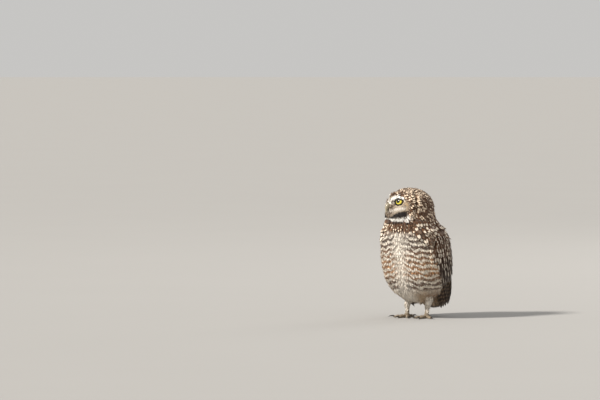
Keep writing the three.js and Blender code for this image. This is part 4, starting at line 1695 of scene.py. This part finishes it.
@dataclass
class TailFan:
    """Twelve tail feathers in a narrow closed fan."""

    plumer: Plumer
    count: int = 12
    start_y: float = 37.0
    start_z: float = 62.0
    end_y: float = 62.0
    end_z: float = 13.5
    half_width: float = 5.8

    def build(self, finish: Material) -> Piece:
        """The fan as one piece.

        Args:
            finish: the material.

        Returns:
            The new piece.
        """
        vane, n = Vane(16, 6), self.count
        share = np.arange(n) / (n - 1) - 0.5
        inside = np.abs(share) * 2
        s, t = vane.s[None, :], vane.t[None, :]
        lift = (1.6 - 3.4 * inside)[:, None] * 0.6 - 1.6 * np.sin(np.pi * s)
        y = self.start_y + (self.end_y - self.start_y) * s + lift
        z = self.start_z + (self.end_z + 2.0 * inside[:, None] - self.start_z) * s
        centre = joined(share[:, None] * (15 + 11 * s), y, z)
        out = unit(joined(share * 0.5, 0.9, 0.38))[:, None, :]
        lie = unit(np.array([0.0, self.end_y - self.start_y, self.end_z - self.start_z]))[None, None, :]
        half = self.half_width * FoldedWing.outline(s, True)
        rise = vane.face[None, :] * 0.18 - 0.08 * half * t**2
        points = centre + unit(np.cross(lie, out)) * (half * t)[..., None] + out * rise[..., None]
        tract = Tract(
            root=points[:, 0], lie=(0.0, 0.0, 0.0), out=(0.0, 0.0, 0.0),
            place=joined(0.1 + 0.8 * (share + 0.5), 0.5),
            ground=blend(UMBER, DARK, 0.3 + 0.3 * self.plumer.random.random(n)), mark=BUFF,
            pattern=(0.5, 0.0, 0.2),
        )
        piece = self.plumer.piece("tail_fan", tract, finish, points, vane, np.tile(s * 6.0, (n, 1)))
        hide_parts("tail")
        return piece


@dataclass
class Skin:
    """One continuous skin under the coat: torso, neck, head, thighs and wing pads."""

    builder: Builder
    torso: RoundedBody
    wrap: RoundedBody
    head: HeadForm
    legs: Legs
    depth: float = 3.6
    head_depth: float = 2.0
    voxel: float = 1.5
    # Share of the coat's ground colour that the skin keeps: painted shade, as the skin lies under the feathers.
    shade: float = 0.7

    def torso_form(self) -> tuple[Array, Array]:
        """The torso and neck, inside the coat's depth."""
        z, angle = np.linspace(34, 174, 60), np.arange(72) * 5.0
        return capped_tube(self.torso.point(z[:, None], angle[None, :], -self.depth))

    def head_form(self) -> tuple[Array, Array]:
        """The head, inside the depth of its short coat."""
        elevation = np.linspace(-1.25, 1.5, 56)
        azimuth = -np.pi + circle(96)
        rings = self.head.point(azimuth[None, :], elevation[:, None], -self.head_depth)
        return capped_tube(self.head.to_bird(rings))

    def pad_form(self, side: Side) -> tuple[Array, Array]:
        """The arm and hand under the wing feathers, as a closed pad.

        Args:
            side: which side of the bird.

        Returns:
            The points and the triangles.
        """
        share, along = np.linspace(0, 1, 24)[:, None], np.linspace(0, 1, 24)[None, :]
        front, back = 76 - 10 * np.sin(np.pi * share), 174 - 4 * share
        angle = front + (back - front) * along
        z = 56 + 96 * share - 6 * share * (2 * along - 1) ** 2
        outer = self.wrap.point(z, angle, -3.2)
        inner = self.wrap.point(z, angle, -9.0)
        rings = np.concatenate([outer, inner[:, ::-1]], axis=1)
        rings[..., 0] *= side.value
        points, faces = capped_tube(rings)
        return points, faces if side is Side.LEFT else faces[:, ::-1]

    def build(self, finish: Material) -> Piece:
        """The forms fused into one skin, with the coat's colours on its points.

        Args:
            finish: the material.

        Returns:
            The new piece.
        """
        forms = [self.torso_form(), self.head_form()]
        for side in Side:
            thigh = limb_rings(self.legs.thigh_stops(side, -1.4), 24, 32)
            forms += [self.pad_form(side), capped_tube(thigh)]
        starts = np.cumsum([0] + [len(points) for points, _ in forms])
        faces = [faces + start for (_, faces), start in zip(forms, starts)]
        points = np.concatenate([points for points, _ in forms])
        piece = self.builder.mesh("skin", points, np.concatenate(faces), finish)
        fused = piece.modifiers.new("fuse", "REMESH")
        fused.mode = "VOXEL"
        fused.voxel_size = self.voxel * MM
        soft = piece.modifiers.new("soften", "SMOOTH")
        soft.factor = 0.5
        soft.iterations = 4
        shown = bpy.context.evaluated_depsgraph_get()
        mesh = bpy.data.meshes.new_from_object(piece.evaluated_get(shown))
        piece.modifiers.clear()
        piece.data = mesh
        mesh.shade_smooth()
        self.colour(mesh)
        LOG.info("skin: %d faces", len(mesh.polygons))
        return piece

    def colour(self, mesh: bpy.types.Mesh) -> None:
        """Gives each point of the skin the ground colour of the coat over it, darkened by painted shade, with
        black-brown painted shade round the eyes.

        Args:
            mesh: the fused skin.
        """
        place = np.empty(len(mesh.vertices) * 3, dtype=np.float32)
        mesh.vertices.foreach_get("co", place)
        points = (place.reshape(-1, 3) - self.builder.frame.offset) / MM
        z = points[:, 2]
        middle, _, _ = self.torso.section_at(z)
        angle = np.degrees(np.arctan2(points[:, 0], -(points[:, 1] - middle)))
        ground, _, _ = BodyColours().paint(z, angle, np.random.default_rng(3))
        ground = blend(ground, BROWN, ramp(z, 172, 176) * 0.8)
        # Painted shade: the skin goes black-brown round each eye, for the shadow that the brow casts there.
        for side in Side:
            far = np.linalg.norm(points - self.head.to_bird(self.head.eye_centre(side)), axis=-1)
            ground = blend(ground, BLACK_BROWN, ramp(far, 15.0, 13.0))
        # Painted shade: the skin's colour is darkened by the shade share, as it shows only in the gaps under
        # the feathers.
        Builder.attribute(mesh, "ground", np.hstack([ground * self.shade, np.ones((len(z), 1))]))


@dataclass
class Eyes:
    """The eyeballs with their lids."""

    builder: Builder
    head: HeadForm
    opening: Triple = (7.6, 1.7, 5.9)

    LID = ((0.0, 0.0), (0.0, 0.4), (0.4, 0.65), (1.0, 0.55), (2.0, 0.45), (3.4, 0.4), (5.0, 0.3), (6.6, -0.8))

    def ball(self, side: Side, finish: Material) -> Piece:
        """A fine eyeball that knows the angle of each point from its gaze.

        Args:
            side: which side of the bird.
            finish: the material.

        Returns:
            The new piece.
        """
        rows, columns = 48, 64
        off = np.linspace(0.004, np.pi - 0.004, rows)[:, None]
        turn = circle(columns)[None, :]
        gaze, across, up = self.head.eye_axes(side)
        direction = (
            np.cos(off)[..., None] * gaze
            + (np.sin(off) * np.cos(turn))[..., None] * across
            + (np.sin(off) * np.sin(turn))[..., None] * up
        )
        bulge = 0.5 * np.exp(-((off / 0.62) ** 2))[..., None]
        rings = self.head.eye_centre(side) + direction * (self.head.eye_radius - 0.3 + bulge)
        points, faces = capped_tube(self.head.to_bird(rings))
        angle = np.degrees(np.concatenate([np.repeat(off, columns), [0.0, np.pi]]))
        around = np.concatenate([np.tile(turn.ravel(), rows), [0.0, 0.0]])
        values = {"off_gaze": angle, "iris_turn": around}
        piece = self.builder.mesh(f"eyeball_{side.label}", points, faces, finish, values)
        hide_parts(f"eye_{side.label}")
        return piece

    def lids(self, side: Side, finish: Material) -> Piece:
        """A soft lid round the eye, lower over the top of the iris.

        Args:
            side: which side of the bird.
            finish: the material.

        Returns:
            The new piece.
        """
        wide, high, low = self.opening
        radius = self.head.eye_radius + 0.25
        columns = 64
        turn = circle(columns)
        cosine, sine = np.cos(turn), np.sin(turn)
        corner = np.clip(cosine * side.value, 0, 1) ** 3
        edge_x = wide * cosine * (1.0 + 0.16 * corner)
        edge_z = np.where(sine > 0, high, low) * np.sign(sine) * np.abs(sine) ** 0.85 - 0.9 * corner
        gaze, across, up = self.head.eye_axes(side)
        rings = []
        for outward, rise in self.LID:
            size = 1.0 + outward / np.hypot(edge_x, edge_z)
            x, z = edge_x * size, edge_z * size
            depth = np.sqrt(np.maximum(radius**2 - np.minimum(x**2 + z**2, (radius * 0.98) ** 2), 0.0))
            rings.append(across * x[:, None] + up * z[:, None] + gaze * (depth + rise)[:, None])
        rings += [rings[-1] * 0.8, rings[0] * 0.93]
        points = self.head.to_bird((np.array(rings) + self.head.eye_centre(side)).reshape(-1, 3))
        faces = grid_faces(len(rings) + 1, columns, True) % len(points)
        piece = self.builder.mesh(f"eyelids_{side.label}", points, faces, finish)
        return piece


@dataclass
class Bill:
    """The hooked upper bill with its cere and nostrils, and the lower bill."""

    builder: Builder
    head: HeadForm
    base: Triple = (0.0, -34.0, 3.5)

    UPPER = (
        (0, 0, 0, 5.2, 6.0), (0, -4.6, -0.6, 4.9, 5.5), (0, -8.6, -2.9, 3.9, 4.7), (0, -11.2, -7, 2.6, 3.3),
        (0, -11.4, -11.5, 1.2, 1.6), (0, -10.6, -14, 0.35, 0.45),
    )
    CERE = (((4.6, -5.0, 2.0), 2.6, 1.1), ((5.6, -6.6, 2.2), 0.95, -1.5))
    LOWER = (
        (0, 0, -8.4, 4.0, 1.9), (0, -3.4, -9.4, 3.4, 1.8),
        (0, -6.4, -10.8, 2.2, 1.25), (0, -7.8, -11.8, 0.8, 0.5),
    )

    def form(self, name: str, stops: tuple[tuple[float, ...], ...], finish: Material) -> Piece:
        """A smooth tapered horn along its stops.

        Args:
            name: the piece's name.
            stops: the values to pass through, row by row.
            finish: the material.

        Returns:
            The new piece.
        """
        rows, sides = 30, 28
        table = np.array(stops, float)
        table[:, :3] += np.array(self.base)
        rings = limb_rings(table, rows, sides)
        if name == "bill_upper_horn":
            for sign in (-1, 1):
                for place, size, height in self.CERE:
                    middle = np.array(self.base) + np.array(place) * [sign, 1, 1]
                    far = np.linalg.norm(rings - middle, axis=-1)
                    rings[..., 0] += sign * height * hill(far, 0.0, size)
        points, faces = capped_tube(self.head.to_bird(rings))
        along = np.concatenate([np.repeat(np.linspace(0, 1, rows), sides), [0.0, 1.0]])
        return self.builder.mesh(name, points, faces, finish, {"along": along})

    def build(self, finish: Material) -> list[Piece]:
        """Both halves of the bill."""
        pieces = []
        for name, stops, node in (
            ("bill_upper_horn", self.UPPER, "bill_upper"), ("bill_lower_horn", self.LOWER, "bill_lower"),
        ):
            piece = self.form(name, stops, finish)
            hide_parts(node)
            pieces.append(piece)
        return pieces


@dataclass(frozen=True)
class Toe:
    """A toe's name, its turn from straight ahead in degrees, and its length against the usual."""

    name: str
    turn: float
    share: float


@dataclass
class Legs:
    """Feathered thighs, bristled shins, padded toes and curved claws."""

    builder: Builder
    plumer: Plumer
    aside: float = 20.0
    back: float = 3.0
    heel_height: float = 46.0
    toe_length: float = 25.0
    claw_length: float = 10.5
    feathers: int = 1300
    bristles: int = 260

    TOES = (
        Toe("inner", 33.0, 0.92), Toe("middle", -3.0, 1.05),
        Toe("outer", -50.0, 0.88), Toe("hind", 168.0, 0.62),
    )

    def ankle(self, side: Side, height: float) -> Array:
        """A place over the middle of the foot."""
        return np.array([side.value * self.aside, self.back, height])

    def heel(self, side: Side) -> Array:
        """Where the shin leaves the thigh."""
        return np.array([side.value * (self.aside + 1), self.back + 9, self.heel_height])

    def thigh_stops(self, side: Side, grow: float) -> Array:
        """The thigh's curve, grown by a depth."""
        x, heel = side.value * 22.0, self.heel(side)
        rows = [
            [x, -6, 66, 17 + grow, 21 + grow], [x, 1, 50, 13.5 + grow, 15.5 + grow],
            [*(heel + [0, -2.5, -9]), 7.4 + grow, 8.4 + grow],
            [*(heel + [0, -5, -21]), 4.6 + grow * 0.6, 5 + grow * 0.6],
        ]
        return np.array(rows, float)

    def shin(self, side: Side, finish: Material) -> Piece:
        """The bare shin under its bristles."""
        heel, ankle = self.heel(side), self.ankle(side, 3.4)
        middle = heel + (ankle - heel) * 0.6
        stops = np.array([[*(heel + [0, -3, -12]), 3.2, 3.6], [*middle, 2.8, 3.2], [*ankle, 4.2, 4.4]])
        piece = self.builder.mesh(f"shin_{side.label}", *capped_tube(limb_rings(stops, 26, 28)), finish)
        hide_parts(f"tarsus_{side.label}")
        return piece

    def foot(self, side: Side, finish: Material) -> Piece:
        """The ball of the foot, flat on the floor.

        Args:
            side: which side of the bird.
            finish: the material.

        Returns:
            The new piece.
        """
        share = np.linspace(0, 1, 14)[1:]
        radius = np.concatenate([[0.6], 5.3 * np.sin(np.pi * (0.5 * share**0.5)) ** 0.35, [4.3]])[:, None]
        height = np.concatenate([[7.3], 7.2 * (1 - share[:-1]) ** 0.9, [0.7, 0.0]])[:, None]
        angle = circle(32)
        place = radius * np.cos(angle), radius * np.sin(angle) * 1.05, height
        rings = self.ankle(side, 0.0) + joined(*place)[::-1]
        piece = self.builder.mesh(f"foot_ball_{side.label}", *capped_tube(rings), finish)
        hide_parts(f"foot_{side.label}")
        return piece

    def laid(self, side: Side, turn: float, reach: Array, wide: Array, high: Array) -> Array:
        """Rings along the line of a toe.

        Args:
            side: which foot.
            turn: the toe's turn from straight ahead.
            reach: distance of each ring from the middle of the foot.
            wide: places across the line, rings by points.
            high: heights over the floor, rings by points.
        """
        heading = np.radians(-90 - side.value * turn)
        ahead = np.array([np.cos(heading), np.sin(heading), 0.0])
        across = np.cross(ahead, [0, 0, 1.0])
        start = self.ankle(side, 0.0) + ahead * reach[:, None, None]
        return start + across * wide[..., None] + np.array([0, 0, 1.0]) * high[..., None]

    def toe_rings(self, side: Side, toe: Toe) -> Array:
        """A toe with soft pads and scutes, flat where it bears on the floor.

        Args:
            side: which side of the bird.
            toe: which toe.

        Returns:
            Rings of points, rows by columns by 3.
        """
        t = np.linspace(0, 1, 44)
        swell = 0.55 * np.cos(t * np.pi * 6)
        end = np.clip((1 - t) / 0.24, 0, 1) ** 0.6
        half = (3.1 - 0.75 * t + swell * 0.6) * (0.3 + 0.7 * end)
        tall = (5.6 - 1.7 * t + swell * 0.7) * (0.52 + 0.48 * end) + 0.16 * np.sin(t * 70)
        angle = circle(24, 0.5)
        high = np.maximum(0.5 + 0.62 * np.sin(angle), 0.0) / 1.12
        reach = 2.0 + self.toe_length * toe.share * t
        return self.laid(side, toe.turn, reach, half[:, None] * np.cos(angle), tall[:, None] * high)

    def claw_rings(self, side: Side, toe: Toe, t: Array, columns: int) -> Array:
        """A curved, tapering claw whose root is under the toe's end."""
        length = self.claw_length * (0.75 + 0.25 * toe.share)
        reach = 1.2 + self.toe_length * toe.share + (length + 1.0) * t
        half = (1.5 * (1 - t) ** 0.8 + 0.12)[:, None]
        middle = 2.3 + 1.7 * np.sin(t * 2.1) * (1 - t * 0.25) - 2.4 * t * t
        angle = circle(columns)
        wide, high = half * np.cos(angle) * 0.85, middle[:, None] + half * np.sin(angle)
        return self.laid(side, toe.turn, reach, wide, high)

    def toes(self, side: Side, skin: Material, horn: Material) -> list[Piece]:
        """Four toes and their claws."""
        t, columns = np.linspace(0, 1, 22), 18
        along = np.concatenate([np.repeat(t, columns), [0.0, 1.0]])
        pieces = []
        for toe in self.TOES:
            name = f"{side.label}_{toe.name}"
            piece = self.builder.mesh(f"toe_skin_{name}", *capped_tube(self.toe_rings(side, toe)), skin)
            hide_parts(f"toe_{name}")
            rings = self.claw_rings(side, toe, t, columns)
            claw = self.builder.mesh(f"claw_horn_{name}", *capped_tube(rings), horn, {"along": along})
            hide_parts(f"claw_{name}")
            pieces += [piece, claw]
        return pieces

    def thigh_coat(self, side: Side, finish: Material) -> Piece:
        """Soft pale feathers down the thigh and sparse bristles down the shin.

        Args:
            side: which side of the bird.
            finish: the material.

        Returns:
            The new piece.
        """
        random = self.plumer.random
        rings = limb_rings(self.thigh_stops(side, -1.6), 60, 48)
        rows, columns, _ = rings.shape
        middle = rings.mean(axis=1)
        i = random.integers(6, rows, self.feathers)
        j = random.integers(0, columns, self.feathers)
        out = unit(rings[i, j] - middle[i])
        lie = unit(unit(np.gradient(middle, axis=0))[i] + out * 0.1)
        heel, ankle = self.heel(side) + np.array([0, -4, -14]), self.ankle(side, 5.0)
        t = random.random(self.bristles)
        turn = random.random(self.bristles) * 2 * np.pi
        shin_out = joined(np.cos(turn), np.sin(turn), 0.0)
        shin_lie = unit(np.array([0, -0.15, -1.0]) + shin_out * 0.25)
        shin_root = heel + (ankle - heel) * t[:, None] + shin_out * 2.7
        counts = (self.feathers, self.bristles)
        n = sum(counts)
        length = np.repeat([8.5, 4.5], counts) * (0.7 + 0.5 * random.random(n))
        share = np.concatenate([j / columns, turn / 6.3]), np.concatenate([i / rows * 0.6, 0.65 + 0.3 * t])
        tract = Tract(
            root=np.concatenate([rings[i, j], shin_root]), lie=np.concatenate([lie, shin_lie]),
            out=np.concatenate([out, shin_out]), length=length, width=np.repeat([3.6, 0.9], counts), rise=0.1,
            bend=0.02, place=bake_place(*share), ground=blend(WHITE, BUFF, 0.35 * random.random(n)),
        )
        piece = self.plumer.body_vanes(f"coat_leg_{side.label}", tract, finish, Vane(4, 2))
        return piece


class LampKind(Enum):
    """The two kinds of studio light."""

    AREA = "AREA"
    SUN = "SUN"


@dataclass(frozen=True)
class Lamp:
    """A soft light; its spread is a width in metres, or for a sun an angle in degrees."""

    name: str
    kind: LampKind
    place: Triple
    spread: float
    power: float
    colour: Triple

    def build(self) -> None:
        """Puts the light in the scene, turned to the bird."""
        data = bpy.data.lights.new(self.name, self.kind.value)
        data.energy = self.power
        data.color = self.colour
        aim = -Vector(self.place)
        if self.kind is LampKind.SUN:
            data.angle = float(np.radians(self.spread))
        else:
            data.size = self.spread
            aim += Vector((0, 0, 0.12))
        lamp = bpy.data.objects.new(self.name, data)
        lamp.location = self.place
        lamp.rotation_euler = aim.to_track_quat("-Z", "Y").to_euler()
        bpy.context.scene.collection.objects.link(lamp)


@dataclass
class Studio:
    """The camera at the photograph's viewing angle, the floor and soft lights.

    The photograph is 600 by 400 pixels; the owl's floor is at row 318 of it, and the
    middle of its body at column 416. Distances are in metres, angles in degrees.
    """

    image_width: int = 600
    image_height: int = 400
    mm_per_pixel: float = 1.78
    body_column: float = 416.0
    floor_row: float = 318.0
    azimuth: float = 32.0
    elevation: float = 2.5
    distance: float = 6.0
    floor_radius: float = 60.0
    floor_colour: Triple = (0.36, 0.352, 0.34)
    world_colour: Triple = (0.86, 0.85, 0.83)
    world_strength: float = 0.66

    LAMPS = (
        Lamp("key", LampKind.SUN, (-1.15, -1.9, 1.7), 7.0, 5.0, (1.0, 0.955, 0.89)),
        Lamp("fill", LampKind.AREA, (2.2, -1.2, 1.1), 1.6, 3.0, (0.96, 0.97, 1.0)),
        Lamp("rim", LampKind.AREA, (0.4, 2.2, 1.7), 1.2, 12.0, (1.0, 0.98, 0.95)),
    )

    def camera(self, bird: BirdFrame) -> None:
        """Places the camera so that the owl takes its place in the photograph's frame.

        Args:
            bird: where the bird stands.
        """
        a, e = np.radians(self.azimuth), np.radians(self.elevation)
        right = np.array([np.cos(a), np.sin(a), 0.0])
        back = np.array([np.sin(a) * np.cos(e), -np.cos(a) * np.cos(e), np.sin(e)])
        aside = (self.image_width / 2 - self.body_column) * self.mm_per_pixel * MM
        height = (self.floor_row - self.image_height / 2) * self.mm_per_pixel * MM
        target = bird.to_scene(np.zeros(3)) + right * aside + np.array([0, 0, height])
        data = bpy.data.cameras.new("camera")
        data.sensor_width = 36.0
        frame_width = self.image_width * self.mm_per_pixel * MM
        data.lens = data.sensor_width * self.distance / frame_width
        data.clip_end = 2 * self.floor_radius
        camera = bpy.data.objects.new("camera", data)
        camera.location = Vector(target + back * self.distance)
        camera.rotation_euler = (np.pi / 2 - e, 0.0, a)
        bpy.context.scene.collection.objects.link(camera)
        bpy.context.scene.camera = camera

    def build(self, effects: PlumageEffects) -> None:
        """The floor, the lights and the pale surroundings.

        Args:
            effects: the shared node groups.
        """
        for lamp in self.LAMPS:
            lamp.build()
        world = bpy.data.worlds.new("surroundings")
        world.use_nodes = True
        background = world.node_tree.nodes["Background"]
        background.inputs["Color"].default_value = (*self.world_colour, 1.0)
        background.inputs["Strength"].default_value = self.world_strength
        bpy.context.scene.world = world
        bpy.context.scene.view_settings.view_transform = "Standard"
        turn = circle(96)
        disc = self.floor_radius / MM * joined(np.cos(turn), np.sin(turn), 0.0)
        centred = BirdFrame()
        centred.offset = np.zeros(3)
        pale = PlainFinish("pale_floor", self.floor_colour, 0.95, 0.03, 3.0).make(effects)
        floor = Builder(centred).mesh("floor", disc, np.arange(96)[None, :], pale, smooth=False)


def main() -> None:
    """Builds the owl piece by piece and reports each."""
    logging.basicConfig(level=logging.INFO, format="%(message)s")
    bird = BirdFrame()
    studio = Studio()
    studio.camera(bird)
    effects = PlumageEffects()
    studio.build(effects)
    builder = Builder(bird)
    plumer = Plumer(builder)
    head = HeadForm()
    torso = RoundedBody(TORSO_SECTIONS)
    wrap = RoundedBody(WRAP_SECTIONS)

    breast = PlumeFinish("breast_feathers", WHITE).make(effects)
    mantle = PlumeFinish("mantle_feathers", CREAM).make(effects)
    cape = PlumeFinish("shoulder_feathers", srgb(236, 222, 202)).make(effects)
    face = PlumeFinish(
        "head_feathers", srgb(232, 210, 184), barbs=40.0, relief=0.2, spot_long=0.25
    ).make(effects)
    flight = PlumeFinish(
        "flight_feathers", srgb(220, 207, 190), barbs=150.0, roughness=0.6, sheen=0.05, spot_long=0.125,
        spot_gap=0.28, edge_bars=1.0
    ).make(effects)
    horn = HornFinish("bill_horn", srgb(122, 112, 92), srgb(176, 166, 142)).make(effects)
    claw = HornFinish("claw_horn", srgb(58, 50, 44), srgb(24, 21, 19), 0.3, 0.4).make(effects)
    scales = ScaleFinish("leg_scales").make(effects)
    lid = PlainFinish("lid_skin", srgb(34, 28, 25), 0.6).make(effects)

    legs = Legs(builder, plumer)
    skin = Skin(builder, torso, wrap, head, legs).build(DownFinish("down").make(effects))
    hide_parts("torso", "neck", "head", "thigh_left", "thigh_right")
    pieces = [skin, *TorsoCoat(torso, plumer).build(breast, mantle, cape)]
    pieces.append(VentCoat(torso, plumer).build(breast))
    pieces += HeadCoat(head, plumer).build(face)
    pieces.append(FacialBristles(head, plumer).build(face))
    eye, eyes = EyeFinish("eye").make(effects), Eyes(builder, head)
    for side in Side:
        pieces += FoldedWing(side, wrap, plumer).build(flight)
        pieces += [eyes.ball(side, eye), eyes.lids(side, lid)]
        pieces += [legs.thigh_coat(side, breast), legs.shin(side, scales), legs.foot(side, scales)]
        pieces += legs.toes(side, scales, claw)
    pieces += Bill(builder, head).build(horn)
    pieces.append(TailFan(plumer).build(flight))
    for piece in pieces:
        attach(piece, ROOT_BODY)
        LOG.info("%s: %d faces", piece.name, len(piece.data.polygons))


if __name__ == "__main__":
    main()
